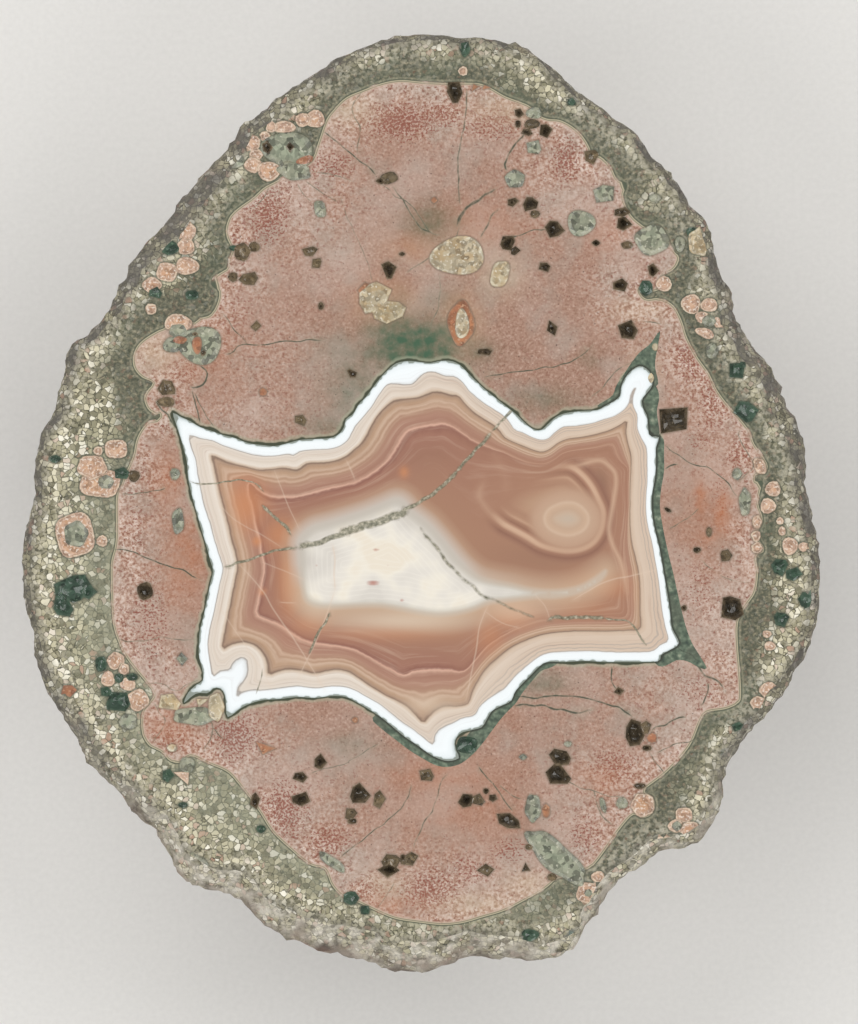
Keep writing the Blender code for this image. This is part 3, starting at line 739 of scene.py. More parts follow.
@dataclass(frozen=True)
class GrainShape:
    """A grain's outline on the face.

    Args:
        grain: The grain.
        picture: Places pixels in mm.
        spacing: Distance in mm between the points of a round outline.
        least: Smallest half size in mm that is drawn.
        lobing: How far a round outline swells and shrinks, as a share of its size.
    """

    grain: Grain
    picture: Picture
    spacing: float = 0.45
    least: float = 0.05
    lobing: float = 0.07

    def outline(self, growth: float) -> np.ndarray:
        """Draw the grain's outline.

        Args:
            growth: Distance in mm outside the true outline, or inside if negative.

        Returns:
            The outline's points in mm.
        """
        grain = self.grain
        dice = random.Random(grain.x * 7.1 + grain.y * 3.3)
        half = np.array([grain.half_x, grain.half_y]) * self.picture.pixel + growth
        half = np.maximum(half, self.least)
        if grain.corners:
            uneven = 0.1 if grain.corners == 4 else 0.3  # squares stay nearly square
            turns = [(i + dice.uniform(-uneven, uneven)) / grain.corners for i in range(grain.corners)]
            reach = [dice.uniform(1.08 - 0.5 * uneven, 1.1 + 0.5 * uneven) for _ in turns]
            corners = np.array([(math.cos(2 * math.pi * t) * r, math.sin(2 * math.pi * t) * r)
                                for t, r in zip(turns, reach)]) * half
            shape = np.array([a + (b - a) * share for a, b in zip(corners, np.roll(corners, -1, axis=0))
                              for share in (0, 0.33, 0.67)])
        else:
            phase, lobes = dice.uniform(0, 6), dice.choice((3, 4, 5))
            count = max(8, round(2 * math.pi * half.max() / self.spacing))
            angle = np.linspace(0, 2 * math.pi, count, endpoint=False)
            reach = 1 + self.lobing * np.sin(lobes * angle + phase)
            shape = np.column_stack([np.cos(angle), np.sin(angle)]) * reach[:, None] * half
        turn = math.radians(grain.turn)
        spin = np.array([(math.cos(turn), math.sin(turn)), (-math.sin(turn), math.cos(turn))])
        return shape @ spin + self.picture.place((grain.x, grain.y))[0]


@dataclass
class CutFace:
    """The polished cut: one flat mesh whose edges follow all that is seen on it.

    Args:
        picture: Places pixels in mm.
        ring: The cut's edge in mm, anticlockwise.
        agate_spacing: Distance between mesh points in the agate, in mm.
        rock_spacing: The same in the rock around it.
        line_spacing: Distance between points along a drawn line.
        halo: Width of the altered skin around a grain, in mm.
        rings: Shares of a grain's half size at which lines are drawn inside it.
        free: Share of a spacing that filling points keep from drawn ones.
        fracture: Length in mm of the small bends of a fracture.
        softness: How steeply a stain fades.
    """

    picture: Picture
    ring: np.ndarray
    agate_spacing: float = 0.34
    rock_spacing: float = 0.8
    line_spacing: float = 0.42
    halo: float = 0.22
    rings: tuple[float, ...] = (0.3, 0.62)
    free: float = 0.4
    fracture: float = 1.3
    softness: float = 0.8
    contours: dict[str, np.ndarray] = field(default_factory=dict)
    strokes: list[tuple[Stroke, np.ndarray]] = field(default_factory=list)
    patches: list[np.ndarray] = field(default_factory=list)
    spots: np.ndarray | None = None
    faces: np.ndarray | None = None

    def build(self) -> None:
        """Draw every line in mm and cut the face into triangles along them."""
        named = {"wall": STAR_WALL, "white": WHITE_EDGE, "cream": CREAM_EDGE, "mauve": MAUVE_LINE,
                 "middle": PALE_MIDDLE, "loop": CURL_LOOP, "core": CURL_CORE, "body": RHYOLITE_BODY}
        sketch = Sketch(self.ring)
        sketch.line(self.ring, closed=True, edge=True)
        for name, pixels in named.items():
            self.contours[name] = smooth_line(self.picture.place(pixels), self.line_spacing, closed=True)
            sketch.line(self.contours[name], closed=True)
        for patch in GREEN_PATCHES:
            self.patches.append(smooth_line(self.picture.place(patch), self.line_spacing, closed=True))
            sketch.line(self.patches[-1], closed=True)
        for stroke in STROKES:
            line = self.course(stroke)
            self.strokes.append((stroke, line))
            for side in (-1, 0, 1):
                sketch.line(self.beside(line, side * stroke.half_width))
        for grain in GRAINS:
            shape = GrainShape(grain, self.picture)
            small = min(grain.half_x, grain.half_y) * self.picture.pixel
            for growth in (self.halo, 0, *(-share * small for share in self.rings)):
                sketch.line(shape.outline(growth), closed=True)
            sketch.line(self.picture.place((grain.x, grain.y)))
        sketch.fill(self.agate_spacing, self.contours["wall"], self.agate_spacing * self.free)
        sketch.fill(self.rock_spacing, None, self.rock_spacing * self.free)
        self.spots, self.faces = sketch.triangles()

    def course(self, stroke: Stroke) -> np.ndarray:
        """Find the line that a stroke really follows, with the small bends of a fracture.

        Args:
            stroke: The stroke.

        Returns:
            The line in mm.
        """
        line = smooth_line(self.picture.place(stroke.course), self.line_spacing)
        shift = np.column_stack([roughness_at(line, self.fracture, seed) for seed in (3.0, 9.0)])
        return line + shift * BENDS[stroke.kind]

    @staticmethod
    def beside(line: np.ndarray, offset: float) -> np.ndarray:
        """A line beside another, closing in on it at both ends.

        Args:
            line: The line in mm.
            offset: Distance to its left in mm.

        Returns:
            The new line.
        """
        along = np.gradient(line, axis=0)
        along /= np.linalg.norm(along, axis=1)[:, None]
        taper = np.sin(np.linspace(0.15, math.pi - 0.15, len(line))) ** 0.4
        return line + np.column_stack([-along[:, 1], along[:, 0]]) * (offset * taper)[:, None]

    def readings(self, points: np.ndarray) -> dict[str, np.ndarray]:
        """Measure where points lie among the drawn lines.

        Args:
            points: Places on the face in mm.

        Returns:
            One list of values for each name that a finish reads.
        """
        values = {}
        for name, line in self.contours.items():
            gap = nearest(points, line, closed=True)[0]
            values[name] = np.where(inside(points, line), gap, -gap)
        depth = [np.abs(values[n]) for n in ("wall", "white", "cream", "mauve")]
        core = np.minimum(np.abs(values["middle"]), np.abs(values["core"]) * 0.7)
        depth.append(core)
        # Where a point lies between two neighbouring lines, counted on from line to line
        share = [k + a / (a + b + 1e-6) for k, (a, b) in enumerate(zip(depth, depth[1:]))]
        band = np.where(values["wall"] > 0, share[0], -0.2)
        for k, name in enumerate(("white", "cream", "mauve"), 1):
            band = np.where(values[name] > 0, share[k], band)
        within = np.maximum(values["middle"], values["core"])
        values["band"] = np.where(within > 0, 4 + np.minimum(within, 3) / 3, band)
        for kind in StrokeKind:
            values[kind.value] = np.zeros(len(points))
        for stroke, line in self.strokes:
            near = close_to(points, line, 1)
            gap, place = nearest(points[near], line)
            # A line fades towards both its ends
            fade = np.clip(8 * np.minimum(place, 1 - place) + 0.35, 0, 1)
            mark = np.clip(1 - gap / stroke.half_width, 0, 1) * stroke.strength * fade
            kept = values[stroke.kind.value]
            kept[near] = np.maximum(kept[near], mark)
        for stain in (RED, GREEN, PALE, ORANGE, COARSE):
            values[stain.value] = self.cloud(points, CLOUDS, stain)
        for stain in (RED, ORANGE, PALE, SMOKE):
            values["agate_" + stain.value] = self.cloud(points, AGATE_CLOUDS, stain)
        values["grain"], values["tone"] = self.grain_readings(points)
        return values

    def cloud(self, points: np.ndarray, clouds: Iterable[Cloud], stain: Stain) -> np.ndarray:
        """Measure how strong a stain is, each cloud fading outwards like a bell.

        Args:
            points: Places on the face in mm.
            clouds: Clouds of this and other stains.
            stain: The stain.

        Returns:
            Its strength at each place.
        """
        total = np.zeros(len(points))
        for cloud in clouds:
            if cloud.stain is stain:
                away = (points - self.picture.place((cloud.x, cloud.y))[0]) / self.picture.pixel
                square = (away[:, 0] / cloud.half_x) ** 2 + (away[:, 1] / cloud.half_y) ** 2
                total = np.maximum(total, cloud.strength * np.exp(-self.softness * square))
        return total

    def grain_readings(self, points: np.ndarray) -> tuple[np.ndarray, np.ndarray]:
        """Measure how deep points lie in the grains.

        Args:
            points: Places on the face in mm.

        Returns:
            Depth in mm inside the nearest grain, down to -1 outside, and that grain's own random tone.
        """
        depth = np.full(len(points), -1.0)
        tone = np.zeros(len(points))
        for grain in GRAINS:
            line = GrainShape(grain, self.picture).outline(0)
            near = close_to(points, line, 1)
            gap = nearest(points[near], line, closed=True)[0]
            within = inside(points[near], line) | (gap < 1e-4)
            signed = np.where(within, gap, -gap)
            won = np.where(within, True, signed > depth[near])
            depth[near[won]] = signed[won]
            tone[near[won]] = random.Random(grain.x * 13 + grain.y).random()
        return depth, tone

    def hollows(self, points: np.ndarray) -> np.ndarray:
        """Depth in mm of the open crystal hollows at points.

        Args:
            points: Places on the face in mm.

        Returns:
            Depth below the cut at each.
        """
        depth = np.zeros(len(points))
        for grain in GRAINS:
            slope, most = HOLLOWS.get(grain.kind, (0.0, 0.0))
            if not slope:
                continue
            line = GrainShape(grain, self.picture).outline(0)
            near = close_to(points, line, 0.1)
            gap = nearest(points[near], line, closed=True)[0]
            gap[~inside(points[near], line) | (gap < 1e-3)] = 0
            uneven = 1 + 0.5 * roughness_at(points[near], 0.7, grain.x)
            depth[near] = np.maximum(depth[near], np.minimum(gap * slope, most) * uneven)
        return depth

    def kinds(self, points: np.ndarray) -> np.ndarray:
        """Tell what each triangle is made of.

        Args:
            points: The triangles' middles in mm.

        Returns:
            A kind of grain or of ground for each.
        """
        kind = np.full(len(points), Ground.RIM, dtype=object)
        kind[inside(points, self.contours["body"])] = Ground.RHYOLITE
        for patch in self.patches:
            kind[inside(points, patch)] = Ground.SEAM
        kind[inside(points, self.contours["wall"])] = Ground.AGATE
        for grain in GRAINS:
            line = GrainShape(grain, self.picture).outline(0)
            near = close_to(points, line)
            kind[near[inside(points[near], line)]] = grain.kind
        return kind


@dataclass
class RoundedBack:
    """The broken, warty outside of the nodule, from the cut's edge down to the resting flat.

    Args:
        solid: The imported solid.
        columns: Mesh columns around the stone.
        rows: Mesh rows from the cut to the foot.
        heart: Depth in mm under the cut of the point that the columns fan out from.
        foot: Half width in mm of the patch that closes the bottom.
        rays: Rays cast at the solid down each column.
        chips: Depth in mm of the chips along the sawn edge.
        relief: Length and height in mm of each set of lumps.
        bead: Distance in mm between neighbouring crumbs.
        bead_height: How far in mm a crumb stands out, at most.
        swell: How far in mm the whole skin is lifted.
    """

    solid: bpy.types.Object
    columns: int = 440
    rows: int = 84
    heart: float = 12.0
    foot: float = 5.0
    rays: int = 90
    chips: float = 0.3
    relief: tuple[tuple[float, float], ...] = ((4.2, 0.34), (1.9, 0.22))
    bead: float = 1.15
    bead_height: float = 0.7
    swell: float = 0.12

    def corners(self) -> np.ndarray:
        """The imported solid's own mesh points in mm."""
        return np.array([v.co for v in self.solid.data.vertices]) / MM

    def ring(self) -> np.ndarray:
        """Trace the cut's edge, with the small chips of a sawn edge.

        Returns:
            Its points in mm, anticlockwise.
        """
        corners = self.corners()
        top = corners[corners[:, 2] > corners[:, 2].max() - 0.01]
        angles = np.arctan2(top[:, 1], top[:, 0])
        order = np.argsort(angles)
        turn = np.linspace(-math.pi, math.pi, self.columns, endpoint=False)
        reach = np.interp(turn, angles[order], np.linalg.norm(top[:, :2], axis=1)[order], period=2 * math.pi)
        ring = np.column_stack([np.cos(turn), np.sin(turn)]) * reach[:, None]
        chip = self.chips * (roughness_at(ring, 2.4, 1.0) + 0.6 * roughness_at(ring, 1.0, 5.0) - 0.5)
        return ring * (1 + chip / reach)[:, None]

    def surface(self, ring: np.ndarray, level: float) -> np.ndarray:
        """Trace the solid in even steps under the cut's edge and roughen it.

        Args:
            ring: The cut's edge in mm.
            level: Height of the cut in mm.

        Returns:
            Points in mm, as rows by columns by three, the first row on the cut's edge.
        """
        mesh = bmesh.new()
        mesh.from_mesh(self.solid.data)
        tree = BVHTree.FromBMesh(mesh)
        mesh.free()
        heart = Vector((0, 0, level - self.heart))
        grid = np.empty((self.rows, self.columns, 3))
        share = np.linspace(0, 1, self.rows)
        for j, (x, y) in enumerate(ring):
            reach = math.hypot(x, y)
            lowest = -math.atan2(level - self.heart, self.foot)
            fan = [(x, y, level)]
            for lift in np.linspace(math.atan2(self.heart, reach), lowest, self.rays)[1:]:
                ray = Vector((x / reach * math.cos(lift), y / reach * math.cos(lift), math.sin(lift)))
                hit = tree.ray_cast(heart * MM, ray)[0]
                fan.append(tuple(hit / MM))
            fan = np.array(fan)
            reached = np.r_[0, np.cumsum(np.linalg.norm(np.diff(fan, axis=0), axis=1))]
            for axis in range(3):
                grid[:, j, axis] = np.interp(share * reached[-1], reached, fan[:, axis])
        return self.roughened(self.softened(grid))

    def softened(self, grid: np.ndarray) -> np.ndarray:
        """Round off the solid's flat facets.

        Args:
            grid: The outside's points in mm.

        Returns:
            The softened points.
        """
        for _ in range(3):
            around = (np.roll(grid, 1, axis=1) + np.roll(grid, -1, axis=1)) / 2
            beside = (grid[:-2] + grid[2:]) / 2
            grid[1:-1] = 0.5 * grid[1:-1] + 0.25 * around[1:-1] + 0.25 * beside
        return grid

    def roughened(self, grid: np.ndarray) -> np.ndarray:
        """Raise the lumps and crumbs of a weathered skin, within the solid's height.

        Args:
            grid: The outside's points in mm.

        Returns:
            The roughened points.
        """
        around = np.roll(grid, -1, axis=1) - np.roll(grid, 1, axis=1)
        down = np.gradient(grid, axis=0)
        out = np.cross(around, down)
        out /= np.linalg.norm(out, axis=2)[:, :, None] + 1e-9
        out *= np.sign((out[:, :, :2] * grid[:, :, :2]).sum(2).mean())
        flat = grid.reshape(-1, 3)
        height = sum(size * roughness_at(flat, wave, 11 + wave) for wave, size in self.relief)
        bead = np.array([noise.voronoi(Vector(p) / self.bead)[0][0] for p in flat])
        height = (height + self.bead_height * (0.42 - bead) + self.swell).reshape(grid.shape[:2])
        rise = np.clip(np.arange(self.rows) / 3, 0, 1)[:, None]  # nothing on the cut's edge itself
        grid = grid + out * (height * rise)[:, :, None]
        grid[:, :, 2] = np.clip(grid[:, :, 2], 0, grid[0, 0, 2])
        return grid


# Finishes

Socket = bpy.types.NodeSocket
Stops = Sequence[tuple[float, str]]
Part = float | str | Socket | tuple[float | str | Socket, float, float]


@dataclass
class Shader:
    """A material and its node tree while it is made.

    Args:
        name: The material's name.
    """

    name: str
    material: bpy.types.Material = field(init=False)
    tree: bpy.types.NodeTree = field(init=False)

    def __post_init__(self) -> None:
        """Start from an empty node tree."""
        self.material = bpy.data.materials.new(self.name)
        self.material.use_nodes = True
        self.tree = self.material.node_tree
        self.tree.nodes.clear()

    def add(self, kind: str, inputs: dict, output: int | str = 0, stops: Stops = (), **settings) -> Socket:
        """Add one node with its settings and links.

        Args:
            kind: The node's type without its prefix.
            inputs: What each input socket gets: another node's output, or a value.
            output: The output socket to give back.
            stops: Places and colours, for a colour ramp.
            settings: The node's own properties.

        Returns:
            The wanted output socket.
        """
        node = self.tree.nodes.new("ShaderNode" + kind)
        for key, value in settings.items():
            setattr(node, key, value)
        for i, (place, colour) in enumerate(stops):
            ramp = node.color_ramp.elements
            stop = ramp[i] if i < len(ramp) else ramp.new(place)
            stop.position = place
            stop.color = linear(colour)
        for key, value in inputs.items():
            if isinstance(value, Socket):
                self.tree.links.new(value, node.inputs[key])
            else:
                node.inputs[key].default_value = value
        return node.outputs[output] if len(node.outputs) else None

    def mm(self) -> Socket:
        """Place on the stone in mm."""
        return self.add("VectorMath", {0: self.add("TexCoord", {}, "Object"), "Scale": 1 / MM},
                        operation="SCALE")

    def reading(self, *parts: Part) -> Socket:
        """Multiply readings of the stone.

        Args:
            parts: Each a number, a node's output or the name of a value that the mesh carries, alone or
                with the two limits that become 0 and 1.

        Returns:
            Their product.
        """
        product = None
        for part in parts:
            value, *limits = part if isinstance(part, tuple) else (part,)
            if isinstance(value, str):
                value = self.add("Attribute", {}, "Fac", attribute_name=value)
            if limits:
                value = self.add("MapRange", {0: value, 1: limits[0], 2: limits[1]})
            if product is not None:
                value = self.add("Math", {0: product, 1: value}, operation="MULTIPLY")
            product = value
        return product

    def layers(self, base: Socket, *rows: tuple) -> Socket:
        """Lay colours over a base, one after the other.

        Args:
            base: The colour below.
            rows: Each a colour, and the readings whose product says how far it covers.

        Returns:
            The base with all of them on it.
        """
        for colour, *parts in rows:
            top = linear(colour) if isinstance(colour, str) else colour
            base = self.add("Mix", {0: self.reading(*parts), 6: base, 7: top}, 2, data_type="RGBA")
        return base

    def speckle(self, size: float, low: float, high: float, detail: float = 2.0) -> Socket:
        """Random patches of a size in mm, from 0 below one noise level to 1 above another."""
        cloud = self.add("TexNoise", {"Vector": self.mm(), "Scale": 1 / size, "Detail": detail})
        return self.reading((cloud, low, high))

    def surface(self, colour: Socket, roughness: Socket | float, ior: float, bump: Socket | None = None,
                relief: float = 0.0, sharpness: float = 0.3) -> bpy.types.Material:
        """Close the tree with the surface shader.

        Args:
            colour: Base colour.
            roughness: How far the gloss spreads.
            ior: Index of refraction of the mineral.
            bump: Height from 0 to 1, if the surface has fine relief.
            relief: Depth of that relief in metres.
            sharpness: Strength of the relief's shading.

        Returns:
            The finished material.
        """
        inputs = {"Base Color": colour, "Roughness": roughness, "IOR": ior}
        if bump is not None:
            inputs["Normal"] = self.add("Bump", {"Strength": sharpness, "Distance": relief, "Height": bump},
                                        "Normal")
        shader = self.add("BsdfPrincipled", inputs)
        self.add("OutputMaterial", {"Surface": shader})
        return self.material


class StoneFinish:
    """A finish that some of the stone's triangles wear."""

    def make(self) -> bpy.types.Material:
        """Build the material."""
        raise NotImplementedError


# Colours across the agate's bands: 0 at the wall, 1 inside the white band, 2 inside the cream band,
# 3 on the mauve line and 4 at the pale middle. The ramp itself runs from 0 to 5.
BAND_COLOURS = (
    (0.00, "#8E958C"), (0.07, "#CDD6D6"), (0.18, "#E9EFF0"), (0.40, "#F0F5F6"), (0.86, "#EEF2F3"),
    (0.95, "#D9DAD8"), (1.00, "#9E958D"), (1.05, "#DCD2C6"), (1.20, "#DACDBF"), (1.225, "#CDC1B4"),
    (1.25, "#DCD0C3"), (1.40, "#D9CBBC"), (1.43, "#D2C6B8"), (1.46, "#DACDBF"), (1.72, "#E2D7CA"),
    (1.90, "#CDB9A5"), (2.00, "#816B5C"), (2.05, "#A78B76"), (2.14, "#B39379"), (2.26, "#C8AC95"),
    (2.32, "#B08F77"), (2.40, "#C5A68F"), (2.46, "#AC8872"), (2.62, "#AB8370"), (2.78, "#A47B69"),
    (2.86, "#B48D7A"), (2.92, "#D6AC97"), (2.955, "#A98070"), (3.00, "#8E6255"), (3.08, "#9E7261"),
    (3.88, "#A57E66"), (4.05, "#B08D74"),
)
BAND_SPAN = 5.0


@dataclass(frozen=True)
class BandedAgate(StoneFinish):
    """Fortification agate, sawn across and polished.

    Silica laid down in coats of 0.1 to 1 mm gives sharp parallel bands, milky white where it is
    fibrous and clear brown where it is dense, under an even glassy gloss.
    """

    ior: float = 1.54
    gloss: float = 0.09
    vein_gloss: float = 0.4  # roughness of the green filling of a healed crack
    coat: float = 0.16  # share of a band, thinnest coat drawn, coarser than real so that it shows
    wander: float = 3.5  # mm, distance over which the coats thicken and thin

    def make(self) -> bpy.types.Material:
        """Build the material.

        Returns:
            The finished material.
        """
        s = Shader("banded_agate")
        at = s.mm()
        band = s.reading("band")
        drift = s.add("TexNoise", {"Vector": at, "Scale": 1 / self.wander, "Detail": 3.0})
        drift = s.add("Math", {0: drift, 1: 0.5}, operation="SUBTRACT")
        ripple = s.add("Math", {0: s.speckle(0.8, 0.2, 0.8), 1: 0.5}, operation="SUBTRACT")
        place = s.add("Math", {0: s.reading(drift, 0.06), 1: band}, operation="ADD")
        place = s.add("Math", {0: s.reading(ripple, 0.05), 1: place}, operation="ADD")
        colour = s.add("ValToRGB", {0: s.add("Math", {0: place, 1: BAND_SPAN}, operation="DIVIDE")},
                       stops=[(p / BAND_SPAN, c) for p, c in BAND_COLOURS])
        rightward = s.add("SeparateXYZ", {0: at})
        right = s.reading((rightward, -8.0, 16.0))
        wavy = s.add("Math", {0: s.reading(place, 34.0), 1: s.reading(drift, 9.0)}, operation="ADD")
        lines = s.add("Math", {0: wavy}, operation="SINE")
        # Thin coats: streaks that are long along a band and short across it
        long_way = s.add("VectorMath", {0: at, "Scale": 0.07}, operation="SCALE")
        across = s.add("CombineXYZ", {2: s.reading(band, 1 / self.coat)})
        where = s.add("VectorMath", {0: long_way, 1: across}, operation="ADD")
        coats = s.add("TexNoise", {"Vector": where, "Scale": 1.6, "Detail": 3.0, "Roughness": 0.6})
        outer = s.reading((band, 3.7, 3.2))
        colour = s.layers(
            colour,
            # On the right the cream band is darker, with grey lines, and the deeper bands are plain
            ("#CDB59F", right, (band, 0.98, 1.06), (band, 2.0, 1.94), 0.75),
            ("#9F9892", (lines, 0.2, 1.0), (band, 1.02, 1.08), (band, 1.55, 1.35), right, 0.55),
            ("#A67D66", (band, 2.5, 2.8), (rightward, 2.0, 12.0), 0.78),
            ("#CDB09A", (coats, 0.52, 0.72), (band, 1.95, 2.1), outer, 0.36),
            ("#946A55", (coats, 0.46, 0.3), (band, 0.05, 1.3), outer, 0.22),
            # Iron along the cracks on the left and lower right
            ("#C8885F", "agate_orange", (band, 1.9, 2.4), 0.85),
            ("#6F5648", "agate_smoke", 0.75),
        )
        colour = self.marks(s, self.curl(s, self.middle(s, colour)))
        gloss = s.add("MapRange", {0: s.reading("vein"), 3: self.gloss, 4: self.vein_gloss})
        return s.surface(colour, gloss, self.ior)

    def middle(self, s: Shader, colour: Socket) -> Socket:
        """Lay in the opaque cream and grey middle.

        Args:
            s: The material being made.
            colour: The bands.

        Returns:
            The bands with the middle on them.
        """
        depth = s.reading("middle")
        x, y = (s.add("SeparateXYZ", {0: s.mm()}, axis) for axis in "XY")
        upper = s.reading((y, -9.5, -6.5), (x, 15.0, 6.0))
        chalk = s.add("ValToRGB", {0: s.speckle(4.5, 0.36, 0.64)},
                      stops=((0.0, "#D5CFC6"), (0.45, "#E0DAD0"), (0.75, "#E9E2D4"), (1.0, "#E6DCCB")))
        # Faint corners of earlier coats
        step = s.add("Math", {0: s.reading(depth, 1.9), 1: s.reading(s.speckle(5.0, 0.2, 0.8), 1.5)},
                     operation="ADD")
        line = s.add("Math", {0: s.reading(step, 6.3)}, operation="SINE")
        chalk = s.layers(chalk, ("#F0EBE0", (line, 0.2, 1.0), 0.2), ("#C3BDB1", (depth, 0.9, 0.1)))
        return s.layers(
            colour,
            ("#C7AC92", (depth, -2.4, -0.1), 0.75),
            ("#D5C1AB", "agate_ivory", 0.8),
            # Grey, clearer silica above and to the right of the chalk
            ("#C5BEB7", (depth, -1.5, -0.2), upper, 0.7),
            (chalk, (depth, -0.4, 0.5)),
            ("#BEB6AB", (depth, 2.0, 0.4), (depth, -0.6, 0.3), upper, 0.6),
        )

    def curl(self, s: Shader, colour: Socket) -> Socket:
        """Lay in the curled coats on the right and the pale core that they wrap.

        Args:
            s: The material being made.
            colour: The agate so far.

        Returns:
            The agate with the curl on it.
        """
        loop = s.reading("loop")
        coats = s.add("ValToRGB", {0: s.reading((loop, -1.5, 3.5))},
                      stops=((0.0, "#9A7260"), (0.14, "#8E6756"), (0.22, "#A07863"), (0.28, "#C7A389"),
                             (0.33, "#C9A78D"), (0.38, "#A87F69"), (0.43, "#926B58"), (0.5, "#A17A64"),
                             (0.55, "#BB967D"), (0.61, "#AC866E"), (0.7, "#A8826B"), (0.8, "#B28D74"),
                             (1.0, "#B6947A")))
        # The coats fade out towards the upper left
        side = s.add("VectorMath", {0: s.mm(), 1: (1.0, -1.3, 0.0)}, "Value", operation="DOT_PRODUCT")
        core = s.reading("core")
        rings = s.add("ValToRGB", {0: s.reading((core, -2.0, 2.5))},
                      stops=((0.0, "#B08C74"), (0.3, "#BC9B83"), (0.42, "#BE9F87"), (0.48, "#CAAE96"),
                             (0.55, "#C4A68D"), (0.64, "#BFA28A"), (0.75, "#C2AA94"), (1.0, "#BBAFA0")))
        return s.layers(colour, (coats, (loop, -1.5, -0.8), (side, 8.8, 12.3)), (rings, (core, -2.0, -1.0)))

    def marks(self, s: Shader, colour: Socket) -> Socket:
        """Lay in light bands of the curl, pale scratches, iron spots and healed cracks.

        Args:
            s: The material being made.
            colour: The agate so far.

        Returns:
            The agate with the marks on it.
        """
        vein = s.reading("vein")
        fill = s.add("ValToRGB", {0: s.speckle(0.4, 0.32, 0.68, 4.0)},
                     stops=((0.0, "#5A5947"), (0.4, "#7A7864"), (0.7, "#9A9480"), (1.0, "#BEB7A3")))
        fill = s.layers(fill, ("#665C49", (vein, 0.45, 0.2), 0.85))
        torn = s.add("MapRange", {0: s.speckle(0.7, 0.3, 0.7, 4.0), 3: 0.45, 4: 1.5})
        return s.layers(
            colour,
            ("#CBA98F", "glow", 0.8),
            ("#DCC5B0", "scratch", 0.6),
            ("#A94F3A", ("agate_red", 0.3, 0.9)),
            (fill, (s.reading(vein, torn), 0.1, 0.5), 0.9),
        )


